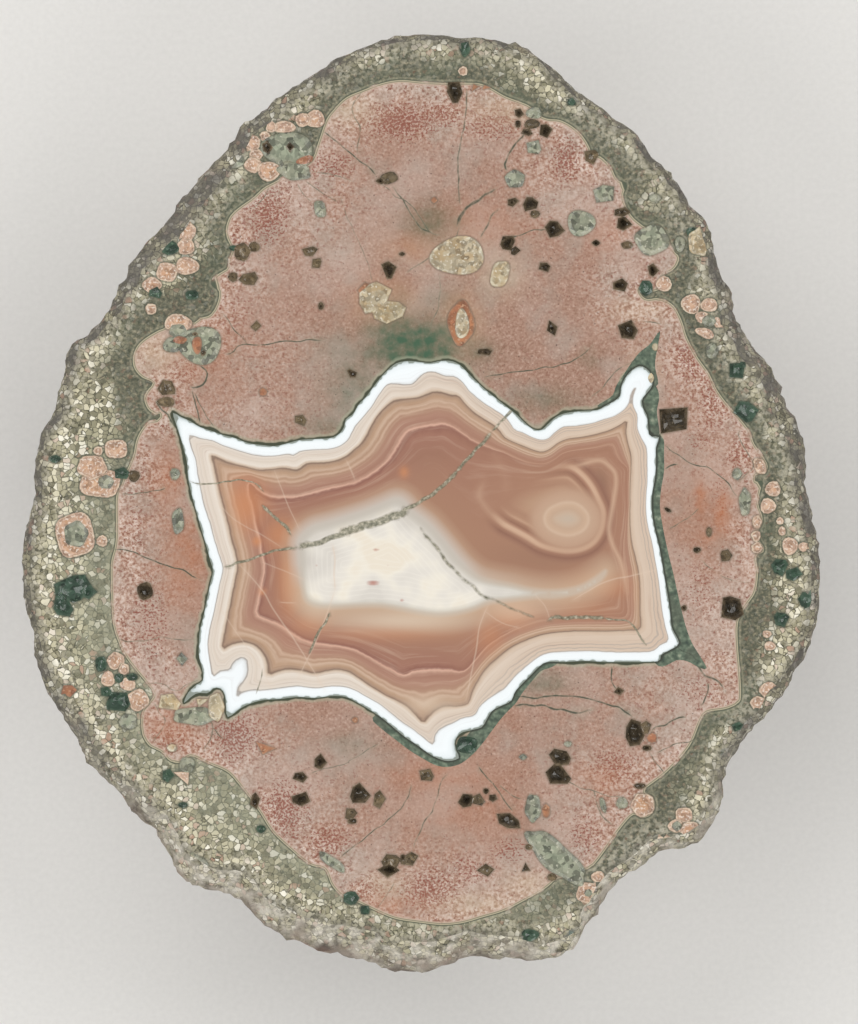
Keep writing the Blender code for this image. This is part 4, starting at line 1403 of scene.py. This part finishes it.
@dataclass(frozen=True)
class PolishedRhyolite(StoneFinish):
    """Devitrified rhyolite, sawn and polished with the agate.

    Feldspar and quartz needles of a few tenths of a mm fan out from the middle of the ball. Inside
    they give a smooth pink brown ground, near the edge a coarse white and red salt and pepper.
    """

    ior: float = 1.52
    gloss: float = 0.16
    needle: float = 0.26  # mm
    speck: float = 0.38  # mm
    fan_middle: tuple[float, float, float] = (-4.0, -27.3, 0.0)  # mm, turned round to be added

    def fan(self, s: Shader) -> Socket:
        """Draw the needles that fan out from the middle of the ball.

        Args:
            s: The material being made.

        Returns:
            Their shade, from 0 to 1.
        """
        out = s.add("VectorMath", {0: s.mm(), 1: self.fan_middle}, operation="ADD")
        x, y = (s.add("SeparateXYZ", {0: out}, axis) for axis in "XY")
        angle = s.add("Math", {0: y, 1: x}, operation="ARCTAN2")
        flat = s.add("VectorMath", {0: out, 1: (1.0, 1.0, 0.0)}, operation="MULTIPLY")
        reach = s.add("VectorMath", {0: flat}, "Value", operation="LENGTH")
        along = s.add("CombineXYZ", {0: s.reading(angle, 46.0), 1: s.reading(reach, 0.8)})
        return s.reading((s.add("TexNoise", {"Vector": along, "Scale": 1.0, "Detail": 3.0}), 0.3, 0.7))

    def make(self) -> bpy.types.Material:
        """Build the material.

        Returns:
            The finished material.
        """
        s = Shader("polished_rhyolite")
        patchy = s.reading(s.speckle(4.0, 0.35, 0.65, 3.0), 3.5)
        inward = s.add("Math", {0: s.reading("body"), 1: patchy}, operation="ADD")
        coarse = s.add("Math", {0: s.reading((inward, 8.0, 2.4)), 1: s.reading("coarse", 0.75)},
                       operation="MAXIMUM")
        fine = s.add("ValToRGB", {0: s.speckle(self.needle, 0.25, 0.75, 3.0)},
                     stops=((0.0, "#8A6857"), (0.4, "#A2806E"), (0.7, "#AE8D7C"), (1.0, "#C6AA9A")))
        bold = s.add("ValToRGB", {0: s.speckle(self.needle * 1.15, 0.34, 0.66, 3.0)},
                     stops=((0.0, "#8A6251"), (0.28, "#AE8976"), (0.56, "#C6AA9A"), (1.0, "#DDCBBE")))
        few = s.add("MapRange", {0: coarse, 3: 0.3, 4: 0.75})
        crowded = s.add("Math", {0: s.speckle(0.25, 0.62, 0.38), 1: s.reading("red")}, operation="ADD")
        colour = s.layers(
            fine,
            (bold, coarse),
            ("#8E6A59", self.fan(s), 0.22),
            ("#A0968A", s.speckle(3.4, 0.48, 0.68, 3.0), 0.4),
            ("#C4B2A6", s.speckle(8.0, 0.46, 0.66, 3.0), 0.4),
            # Iron oxide specks, scattered and in crowds
            ("#7E4638", s.speckle(self.speck, 0.6, 0.68), few),
            ("#4F3A30", s.speckle(0.3, 0.67, 0.72), 0.7),
            ("#85483A", (crowded, 1.2, 1.35), 0.75),
        )
        colour = self.edges(s, self.tints(s, colour))
        rough = s.add("MapRange", {0: s.speckle(0.5, 0.3, 0.7), 3: self.gloss - 0.04, 4: self.gloss + 0.1})
        return s.surface(colour, rough, self.ior)

    def tints(self, s: Shader, colour: Socket) -> Socket:
        """Smooth stains of clay, feldspar and iron."""
        patchy = s.add("MapRange", {0: s.speckle(1.1, 0.25, 0.75, 3.0), 3: 0.6, 4: 1.25})
        return s.layers(colour, ("#B0704D", "orange", patchy, 0.75), ("#C9B698", "ivory", patchy, 0.7),
                        ("#46614B", "green", patchy))

    def edges(self, s: Shader, colour: Socket) -> Socket:
        """Lay in cracks, skins around grains, the green seam and the double line along the rim.

        Args:
            s: The material being made.
            colour: The rock so far.

        Returns:
            The rock with its edges drawn.
        """
        depth = s.reading("body")
        near = s.add("ValToRGB", {0: s.reading((depth, 0.0, 1.0))},
                     stops=((0.0, "#545B4B"), (0.1, "#6A6B5A"), (0.17, "#C6BA9D"), (0.26, "#74715F"),
                            (0.36, "#C2AE97"), (0.5, "#B2968A")))
        thick = s.reading(s.speckle(1.8, 0.4, 0.7), 0.26)
        seam = s.add("Math", {0: s.reading("wall"), 1: thick}, operation="ADD")
        torn = s.add("MapRange", {0: s.speckle(1.0, 0.3, 0.7, 4.0), 3: 0.5, 4: 1.6})
        crack = s.reading("crack", torn)
        return s.layers(
            colour,
            (near, (depth, 0.55, 0.35), s.speckle(1.6, 0.25, 0.5)),
            ("#A3A78F", (seam, -0.55, -0.3), 0.5),
            ("#454A3A", (seam, -0.22, -0.08)),
            ("#6A5F50", ("grain", -0.24, -0.04), 0.55),
            ("#8C8B76", (crack, 0.1, 0.4), 0.35),
            ("#474B3E", (crack, 0.3, 0.85), 0.9),
        )


@dataclass(frozen=True)
class SpeckledRim(StoneFinish):
    """The nodule's outer shell of packed spherulites in clay, polished where the saw cut it.

    Round cream grains of 0.5 to 0.8 mm crowd in grey green clay near the outside, and thin out into
    plain speckled clay next to the body.
    """

    ior: float = 1.52
    gloss: float = 0.24
    grain: float = 0.57  # mm between the middles of neighbouring grains

    def ground(self, s: Shader) -> Socket:
        """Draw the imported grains.

        Args:
            s: The material being made.

        Returns:
            Their colour.
        """
        at = s.mm()
        wobble = s.add("TexNoise", {"Vector": at, "Scale": 1 / self.grain, "Detail": 3.0}, "Color")
        wobble = s.add("VectorMath", {0: wobble, "Scale": 0.42}, operation="SCALE")
        spot = s.add("VectorMath", {0: at, 1: wobble}, operation="ADD")
        cell = {"Vector": spot, "Scale": 1 / self.grain, "Randomness": 1.0}
        gap = s.add("TexVoronoi", cell, "Distance", feature="DISTANCE_TO_EDGE")
        shade = s.add("SeparateColor", {0: s.add("TexVoronoi", cell, "Color")})
        grain = s.add("ValToRGB", {0: shade},
                      stops=((0.0, "#706C57"), (0.2, "#948E74"), (0.45, "#B2AB8D"), (0.7, "#D8D0B3"),
                             (0.88, "#F6F1E0"), (0.96, "#B99A84"), (1.0, "#A98A74")))
        clay = s.add("ValToRGB", {0: s.speckle(0.35, 0.3, 0.7, 3.0)},
                     stops=((0.0, "#2B2C23"), (0.5, "#4D4B39"), (1.0, "#82785F")))
        return s.layers(clay, (grain, (gap, 0.02, 0.1)), ("#5B5A49", s.speckle(1.7, 0.54, 0.66, 4.0), 0.4))

    def make(self) -> bpy.types.Material:
        """Build the material.

        Returns:
            The finished material.
        """
        s = Shader("speckled_rim")
        # Fine grey clay next to the rhyolite body, thin and pale at the lower left
        clay = s.add("ValToRGB", {0: s.speckle(0.4, 0.3, 0.7, 4.0)},
                     stops=((0.0, "#3C4034"), (0.35, "#505345"), (0.65, "#666452"), (1.0, "#968D76")))
        clay = s.layers(clay, ("#7D5A48", s.speckle(0.6, 0.6, 0.7), 0.5),
                        ("#586350", s.speckle(5.0, 0.5, 0.7), 0.45))
        wave = s.add("MapRange", {0: s.speckle(6.0, 0.3, 0.7, 4.0), 3: -1.6, 4: 1.6})
        gap = s.add("Math", {0: s.reading("body"), 1: wave}, operation="ADD")
        corner = s.add("VectorMath", {0: s.mm(), 1: (1.0, 1.0, 0.0)}, "Value", operation="DOT_PRODUCT")
        deep = s.add("MapRange", {0: corner, 1: -48.0, 2: -22.0, 3: 0.3, 4: 0.9})
        colour = s.layers(
            self.ground(s),
            (clay, (gap, -3.8, -1.5), deep),
            ("#9FA18C", (corner, -18.0, -42.0), ("inset", 1.2, 4.5), s.speckle(1.0, 0.2, 0.6, 4.0), 0.42),
            # Paler, crumbly grains towards the edge of the cut, and a dark line on it
            ("#DAD2BC", ("inset", 3.5, 0.5), s.speckle(0.45, 0.45, 0.6, 3.0), 0.5),
            ("#5F5C53", ("inset", 1.1, 0.2), 0.55),
            ("#ABA68C", ("body", -0.3, -0.18), ("body", 0.0, -0.1), 0.3),
            ("#4C5042", ("grain", -0.24, -0.05), 0.7),
            ("#43483B", "crack"),
        )
        rough = s.add("MapRange", {0: s.speckle(0.5, 0.3, 0.7), 3: self.gloss - 0.06, 4: self.gloss + 0.16})
        return s.surface(colour, rough, self.ior)


@dataclass(frozen=True)
class WeatheredRind(SpeckledRim):
    """The nodule's natural outside, broken out of its bed and weathered.

    Under a sawn edge the grains still show for a few mm. Below it a dull brown and grey skin of
    clay and iron, pitted and crumbly, takes over.
    """

    dullness: float = 0.78
    crumb: float = 0.9  # mm
    pit: float = 0.35  # mm

    def make(self) -> bpy.types.Material:
        """Build the material.

        Returns:
            The finished material.
        """
        s = Shader("weathered_rind")
        along = s.add("SeparateXYZ", {0: s.mm()}, "Y")
        skin = s.add("ValToRGB", {0: s.speckle(4.5, 0.3, 0.7, 6.0)},
                     stops=((0.0, "#5B5148"), (0.3, "#7A6C60"), (0.5, "#8E8375"), (0.72, "#A3968A"),
                            (1.0, "#BDB2A4")))
        skin = s.layers(skin, ("#8C6350", s.speckle(6.0, 0.56, 0.7, 4.0), 0.5),
                        ("#6E7562", s.speckle(3.2, 0.58, 0.7, 4.0), 0.6),
                        ("#D8C9BC", s.speckle(1.0, 0.6, 0.75, 4.0), 0.5))
        depth = s.add("Math", {0: s.reading("below"), 1: s.reading(s.speckle(2.5, 0.3, 0.7), 4.0)},
                      operation="ADD")
        pits = s.speckle(self.crumb, 0.3, 0.65, 5.0)
        colour = s.layers(
            self.ground(s),
            ("#D8D1C3", s.speckle(1.4, 0.35, 0.65), (along, -20.0, -38.0), 0.8),
            (skin, (depth, 3.0, 7.0)),
            # Greyer round the sides of the cut than at its lower end
            ("#5F5B56", (along, -36.0, -22.0), s.speckle(2.4, 0.3, 0.6, 3.0), ("below", 9.0, 1.0), 0.85),
            # Painted shade: darker in the low spots of the pitted bump
            ("#4A433B", (pits, 0.35, 0.0), 0.6),
        )
        rough = s.add("MapRange", {0: pits, 3: self.dullness + 0.12, 4: self.dullness - 0.12})
        return s.surface(colour, rough, self.ior, pits, self.pit * MM, 0.7)


@dataclass(frozen=True)
class GreenSeam(StoneFinish):
    """Green clay between agate and rhyolite, too soft to take a full polish.

    Flakes finer than the eye can part give a matt, mottled sea green with darker threads.
    """

    ior: float = 1.6
    gloss: float = 0.34

    def make(self) -> bpy.types.Material:
        """Build the material.

        Returns:
            The finished material.
        """
        s = Shader("green_clay_seam")
        colour = s.add("ValToRGB", {0: s.speckle(0.6, 0.28, 0.72, 4.0)},
                       stops=((0.0, "#36433A"), (0.35, "#4D5B4B"), (0.7, "#677562"), (1.0, "#929882")))
        colour = s.layers(colour, ("#55584A", s.speckle(2.5, 0.5, 0.6), 0.5),
                          ("#33382D", ("wall", -0.3, -0.1)), ("#3C3E33", ("crack", 0.1, 0.7)))
        return s.surface(colour, self.gloss, self.ior)


@dataclass(frozen=True)
class GrainFinish(StoneFinish):
    """One kind of grain in the rock, cut and polished with it.

    Args:
        name: The material's name.
        depths: Colours by depth in mm inside the grain's edge, down to the full depth; in the quartz hollows
            the darker deep colours are painted shade.
        light: Colour that half of the grains lean to.
        lean: How far they lean.
        flecks: Colour of the specks in it.
        fleck_size: Size of those specks in mm.
        fleck_share: Noise level above which they show.
        gloss: Roughness.
        ior: Index of refraction of the mineral.
        second: Colour of a second, larger mottling.
        facets: How strongly the crystals in it differ in tone: random tones that are partly their own colour
            and partly painted light and shade on their facets.
        full_depth: Depth in mm of the last colour.
        crystal: Size in mm of the crystals in it.
    """

    name: str
    depths: Stops
    light: str
    lean: float
    flecks: str
    fleck_size: float
    fleck_share: float
    gloss: float
    ior: float
    second: str
    facets: float
    full_depth: float = 1.5
    crystal: float = 0.5

    def make(self) -> bpy.types.Material:
        """Build the material.

        Returns:
            The finished material.
        """
        s = Shader(self.name)
        drift = s.add("MapRange", {0: s.speckle(0.5, 0.3, 0.7), 3: -0.08, 4: 0.08})
        depth = s.add("Math", {0: s.reading("grain"), 1: drift}, operation="ADD")
        colour = s.add("ValToRGB", {0: s.reading(depth, 1 / self.full_depth)},
                       stops=[(d / self.full_depth, c) for d, c in self.depths])
        colour = s.layers(colour, (self.light, "tone", self.lean),
                          (self.second, s.speckle(0.8, 0.45, 0.6, 3.0), 0.5))
        # Random tones for the small crystals: partly their own colour, partly painted light and shade on
        # their facets
        crystals = s.add("TexVoronoi", {"Vector": s.mm(), "Scale": 1 / self.crystal}, "Color")
        tones = s.add("ValToRGB", {0: s.add("SeparateColor", {0: crystals})},
                      stops=((0.0, "#5A5A5A"), (0.5, "#BCBCBC"), (1.0, "#E6E6E6")))
        colour = s.add("Mix", {0: self.facets, 6: colour, 7: tones}, 2, data_type="RGBA",
                       blend_type="OVERLAY")
        flecks = s.speckle(self.fleck_size, self.fleck_share, self.fleck_share + 0.08, 3.0)
        colour = s.layers(colour, (self.flecks, flecks, ("grain", 0.05, 0.2), 0.75))
        return s.surface(colour, self.gloss, self.ior)


FINISHES = {
    Ground.AGATE: BandedAgate(),
    Ground.RHYOLITE: PolishedRhyolite(),
    Ground.RIM: SpeckledRim(),
    Ground.RIND: WeatheredRind(),
    Ground.SEAM: GreenSeam(),
    # Hollows left by quartz and feldspar crystals: brown glassy walls, with painted shade that darkens each
    # hollow towards its bottom
    QUARTZ: GrainFinish(
        "smoky_quartz", ((0.0, "#7F705B"), (0.2, "#5F5241"), (0.45, "#3E362B"), (1.5, "#211D18")),
        "#6A5E4A", 0.2, "#9C8E74", 0.5, 0.66, 0.08, 1.54, "#3E372B", 0.55,
    ),
    # Altered pyroxene or feldspar, olive brown and sugary
    OLIVE: GrainFinish(
        "olive_crystal", ((0.0, "#54493A"), (0.15, "#6F614C"), (1.5, "#776951")),
        "#857459", 0.5, "#40382B", 0.45, 0.6, 0.18, 1.6, "#5E5341", 0.6,
    ),
    # Clay and chalcedony in old gas bubbles, grey green with paler grains
    CLAY: GrainFinish(
        "grey_green_clay", ((0.0, "#5E5C4A"), (0.12, "#7C7C6A"), (0.4, "#8A8B79"), (1.5, "#8C937E")),
        "#9A9780", 0.4, "#C4C2AE", 0.42, 0.62, 0.26, 1.56, "#737B68", 0.75,
    ),
    # Celadonite and dark chlorite, nearly black green
    CELADONITE: GrainFinish(
        "dark_green_chlorite", ((0.0, "#4A594A"), (0.3, "#36483C"), (1.5, "#293B31")),
        "#4C6350", 0.4, "#7B8F76", 0.46, 0.64, 0.18, 1.6, "#3E5444", 0.6,
    ),
    # Spherulites: a pale skin, then rings of pink and orange feldspar needles
    SPHERULITE: GrainFinish(
        "pink_spherulite", ((0.0, "#7A6A58"), (0.07, "#CDBCA6"), (0.16, "#BFA48F"),
                            (0.26, "#93755F"), (0.36, "#B89A86"), (0.6, "#B38B6E"), (1.5, "#BE9776")),
        "#C4A48C", 0.4, "#E8DACB", 0.3, 0.54, 0.16, 1.52, "#CFB19B", 0.4,
    ),
    # Ivory feldspar
    IVORY: GrainFinish(
        "ivory_feldspar", ((0.0, "#A69C85"), (0.12, "#C7BFAC"), (0.3, "#B0A48C"), (1.5, "#AC9F87")),
        "#C2AF84", 0.4, "#DED6C3", 0.35, 0.58, 0.2, 1.53, "#A5875C", 0.5,
    ),
    # Iron oxide in a crack or bubble, dull red brown
    RUST: GrainFinish(
        "rust_patch", ((0.0, "#96755E"), (0.25, "#A6714F"), (1.5, "#A0684C")),
        "#B07A5C", 0.5, "#C39B7C", 0.4, 0.56, 0.3, 1.6, "#84503C", 0.4,
    ),
}


# The stone and its studio

@dataclass
class NoduleHalf:
    """Half an agate nodule: the polished cut and the rough outside in one closed skin.

    Args:
        solid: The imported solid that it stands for.
        map_margin: Share of the bake map left free along its edges.
        map_strip: Height of the outside's strip in the bake map.
        foot_place: Middle of the foot in the bake map.
        foot_spacing: Distance in mm between mesh points in the foot.
        foot_free: Size in mm of the squares around its edge points that stay free.
        underside: Distance in mm along the skin from the cut that the foot is taken to have.
    """

    solid: bpy.types.Object
    map_margin: float = 0.004
    map_strip: float = 0.14
    foot_place: tuple[float, float] = (0.93, 0.07)
    foot_spacing: float = 0.8
    foot_free: float = 0.3
    underside: float = 80.0

    def build(self) -> bpy.types.Object:
        """Model the skin, dress it and put it in the solid's place.

        Returns:
            The piece.
        """
        low, high = [np.array(corner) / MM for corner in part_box(NODE)]
        level = high[2]
        back = RoundedBack(self.solid)
        ring = back.ring()
        face = CutFace(Picture(high[1] - low[1]), ring)
        face.build()
        grid = back.surface(ring, level)
        LOG.info("face: %d points, %d triangles", len(face.spots), len(face.faces))
        piece = self.skin(face, grid, level)
        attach(piece, BODY)
        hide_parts(NODE)
        return piece

    def skin(self, face: CutFace, grid: np.ndarray, level: float) -> bpy.types.Object:
        """Join face, outside and foot into one mesh with its map, readings and finishes.

        Args:
            face: The cut face.
            grid: Points of the outside, in mm.
            level: Height of the cut in mm.

        Returns:
            The dressed object.
        """
        rows, columns = grid.shape[:2]
        spots = np.column_stack([face.spots, level - face.hollows(face.spots)])
        foot, foot_faces = self.foot(grid[-1])
        points = np.vstack([spots, grid[1:].reshape(-1, 3), foot])
        first = len(spots) - columns  # so that row 1 starts right after the face's points
        number = first + np.arange(rows * columns).reshape(rows, columns)
        number[0] = np.arange(columns)
        onward = np.roll(number, -1, axis=1)
        quads = np.stack([number[:-1], number[1:], onward[1:], onward[:-1]], axis=2).reshape(-1, 4)
        foot_number = np.r_[number[-1], len(points) - len(foot) + np.arange(len(foot))]
        triangles = self.upward(face)
        faces = [tuple(t) for t in triangles.tolist()] + [tuple(q) for q in quads.tolist()]
        faces += [tuple(t) for t in foot_number[foot_faces].tolist()]
        mesh = bpy.data.meshes.new("agate_nodule_dressed")
        mesh.from_pydata((points * MM).tolist(), [], faces)
        self.bake_map(mesh, face, triangles, rows, columns, np.vstack([grid[-1], foot])[foot_faces])
        self.carry(mesh, face, grid, len(points))
        self.dress(mesh, face, triangles)
        smooth = np.zeros(len(mesh.polygons), bool)
        smooth[len(triangles):] = True
        mesh.polygons.foreach_set("use_smooth", smooth)
        ends = np.empty(len(mesh.edges) * 2, int)
        mesh.edges.foreach_get("vertices", ends)
        ends = ends.reshape(-1, 2)
        mesh.edges.foreach_set("use_edge_sharp", (ends < columns).all(1))
        mesh.update()
        piece = bpy.data.objects.new("agate_nodule_dressed", mesh)
        bpy.context.scene.collection.objects.link(piece)
        return piece

    @staticmethod
    def upward(face: CutFace) -> np.ndarray:
        """Turn the face's triangles to look up.

        Args:
            face: The cut face.

        Returns:
            The turned triangles.
        """
        a, b, c = (face.spots[face.faces[:, i]] for i in range(3))
        turned = np.cross(b - a, c - a) < 0
        triangles = face.faces.copy()
        triangles[turned] = triangles[turned][:, ::-1]
        return triangles

    def foot(self, edge: np.ndarray) -> tuple[np.ndarray, np.ndarray]:
        """Close the bottom.

        Args:
            edge: The last row of the outside, in mm.

        Returns:
            New points in mm, and triangles numbered over the edge and the new points, looking down.
        """
        sketch = Sketch(edge[:, :2])
        sketch.line(edge[:, :2], closed=True, edge=True)
        sketch.fill(self.foot_spacing, None, self.foot_free)
        spots, faces = sketch.triangles()
        new = spots[len(edge):]
        a, b, c = (spots[faces[:, i]] for i in range(3))
        turned = np.cross(b - a, c - a) > 0
        faces[turned] = faces[turned][:, ::-1]
        return np.column_stack([new, np.full(len(new), edge[:, 2].mean())]), faces

    def bake_map(self, mesh: bpy.types.Mesh, face: CutFace, triangles: np.ndarray, rows: int, columns: int,
                 foot: np.ndarray) -> None:
        """Lay out the bake map: the face, a strip for the outside above it, the foot in a corner.

        Args:
            mesh: The joined mesh.
            face: The cut face.
            triangles: The face's triangles as they stand in the mesh.
            rows: Rows of the outside.
            columns: Columns of the outside.
            foot: Corners of the foot's triangles in mm.
        """
        low, high = face.ring.min(0), face.ring.max(0)
        scale = (1 - 2 * self.map_margin) / (high[1] - low[1])
        flat = face.spots[triangles]
        face_map = np.stack([flat[:, :, 1] - low[1], high[0] - flat[:, :, 0]], axis=2)
        face_map = face_map * scale + self.map_margin
        across = np.linspace(0, 1, columns + 1)
        up = 1 - self.map_margin - self.map_strip * np.linspace(0, 1, rows)
        left, right = np.tile(across[:-1], rows - 1), np.tile(across[1:], rows - 1)
        top, bottom = np.repeat(up[:-1], columns), np.repeat(up[1:], columns)
        strip = np.stack([np.stack([left, top], 1), np.stack([left, bottom], 1), np.stack([right, bottom], 1),
                          np.stack([right, top], 1)], axis=1)
        foot_map = foot[:, :, :2] * (scale, -scale) + self.foot_place
        corners = np.vstack([part.reshape(-1, 2) for part in (face_map, strip, foot_map)])
        mesh.uv_layers.new(name="OFBake").data.foreach_set("uv", corners.ravel())

    def carry(self, mesh: bpy.types.Mesh, face: CutFace, grid: np.ndarray, count: int) -> None:
        """Write the readings that the finishes use onto the mesh points.

        Args:
            mesh: The joined mesh.
            face: The cut face.
            grid: Points of the outside, in mm.
            count: Number of mesh points.
        """
        readings = face.readings(face.spots)
        readings["inset"] = Sketch(face.ring).room(face.spots)
        steps = np.linalg.norm(np.diff(grid, axis=0), axis=2)
        outside = len(face.spots), len(face.spots) + steps.size
        for name, values in readings.items():
            full = np.full(count, -1.0 if name == "grain" else 0.0)
            full[:len(values)] = values
            mesh.attributes.new(name, "FLOAT", "POINT").data.foreach_set("value", full)
        below = np.full(count, self.underside)
        below[:outside[0]] = 0
        below[outside[0]:outside[1]] = np.cumsum(steps, axis=0).ravel()
        mesh.attributes.new("below", "FLOAT", "POINT").data.foreach_set("value", below)

    @staticmethod
    def dress(mesh: bpy.types.Mesh, face: CutFace, triangles: np.ndarray) -> None:
        """Give every triangle of the face its finish, and the outside its own.

        Args:
            mesh: The joined mesh.
            face: The cut face.
            triangles: The face's triangles.
        """
        for finish in FINISHES.values():
            mesh.materials.append(finish.make())
        number = {kind: i for i, kind in enumerate(FINISHES)}
        kinds = face.kinds(face.spots[triangles].mean(1))
        slots = np.full(len(mesh.polygons), number[Ground.RIND])
        slots[:len(kinds)] = [number[kind] for kind in kinds]
        mesh.polygons.foreach_set("material_index", slots)


@dataclass(frozen=True)
class Studio:
    """A pale floor, soft light from all round and a camera straight above the cut.

    Args:
        level: Height of the cut in m.
        view: What the camera's frame spans on the cut, long side, in m.
        middle: Place on the cut under the camera, in m.
        lens: Focal length in mm.
        film: Width of the camera's film in mm.
        sky: Strength of the even light.
        lamp_watts: Power of a soft box.
        lamp_shares: Each box's share of that power, anticlockwise.
        first_turn: Direction of the first box in degrees.
        lamp_size: Width of a box in m.
        lamp_reach: Distance from the cut to a box in m.
        lamp_rise: Height of a box in degrees above the floor.
        floor_half: Half width of the floor in m.
    """

    level: float
    view: float
    middle: tuple[float, float]
    lens: float = 200.0
    film: float = 36.0
    sky: float = 0.28
    lamp_watts: float = 3.7
    lamp_shares: tuple[float, ...] = (1.25, 1.0, 0.85, 1.05)
    first_turn: float = 125.0
    lamp_size: float = 0.7
    lamp_reach: float = 1.1
    lamp_rise: float = 48.0
    floor_half: float = 1.5

    def build(self) -> None:
        """Set up floor, lights and camera."""
        self.floor()
        self.lights()
        self.camera()

    def floor(self) -> None:
        """Lay down a large matt sheet of paper."""
        half = self.floor_half
        mesh = bpy.data.meshes.new("floor")
        corners = [(-half, -half, 0), (half, -half, 0), (half, half, 0), (-half, half, 0)]
        mesh.from_pydata(corners, [], [(0, 1, 2, 3)])
        s = Shader("floor_paper")
        colour = s.add("ValToRGB", {0: s.speckle(0.6, 0.3, 0.7, 4.0)},
                       stops=((0.0, "#E1DFDB"), (1.0, "#E6E4E0")))
        mesh.materials.append(s.surface(colour, 0.8, 1.45))
        floor = bpy.data.objects.new("floor", mesh)
        bpy.context.scene.collection.objects.link(floor)

    def lights(self) -> None:
        """Set four soft boxes round the stone, and an even sky."""
        world = bpy.data.worlds.new("sky")
        world.use_nodes = True
        light = world.node_tree.nodes["Background"].inputs
        light[0].default_value = (1.0, 1.0, 1.0, 1.0)
        light[1].default_value = self.sky
        bpy.context.scene.world = world
        for i, share in enumerate(self.lamp_shares):
            turn, rise = math.radians(self.first_turn + 90 * i), math.radians(self.lamp_rise)
            away = Vector((math.cos(turn) * math.cos(rise), math.sin(turn) * math.cos(rise), math.sin(rise)))
            lamp = bpy.data.lights.new(f"soft_box_{i + 1}", "AREA")
            lamp.energy, lamp.size = self.lamp_watts * share, self.lamp_size
            box = bpy.data.objects.new(lamp.name, lamp)
            box.location = away * self.lamp_reach + Vector((0, 0, self.level))
            box.rotation_euler = away.to_track_quat("Z", "Y").to_euler()
            bpy.context.scene.collection.objects.link(box)

    def camera(self) -> None:
        """Look straight down at the cut."""
        camera = bpy.data.cameras.new("camera")
        camera.lens, camera.sensor_width = self.lens, self.film
        camera.clip_end = 10
        holder = bpy.data.objects.new("camera", camera)
        holder.location = (*self.middle, self.level + self.view / self.film * self.lens)
        bpy.context.scene.collection.objects.link(holder)
        bpy.context.scene.camera = holder
        bpy.context.scene.view_settings.view_transform = "Standard"


def main() -> None:
    """Build the nodule and its studio, in order, and report each."""
    logging.basicConfig(level=logging.INFO, format="%(message)s")
    low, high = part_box(NODE)
    nodule = NoduleHalf(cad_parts[NODE]).build()
    LOG.info("%s: %d faces, %d finishes", nodule.name, len(nodule.data.polygons), len(nodule.data.materials))
    picture = Picture(high.y - low.y)
    offset = (np.array(PICTURE_SIZE) / 2 - picture.middle) * (picture.pixel, -picture.pixel)
    studio = Studio(high.z, PICTURE_SIZE[1] * picture.pixel, tuple(offset))
    studio.build()
    LOG.info("studio: camera %.3f m above the cut", studio.view / studio.film * studio.lens)


if __name__ == "__main__":
    main()
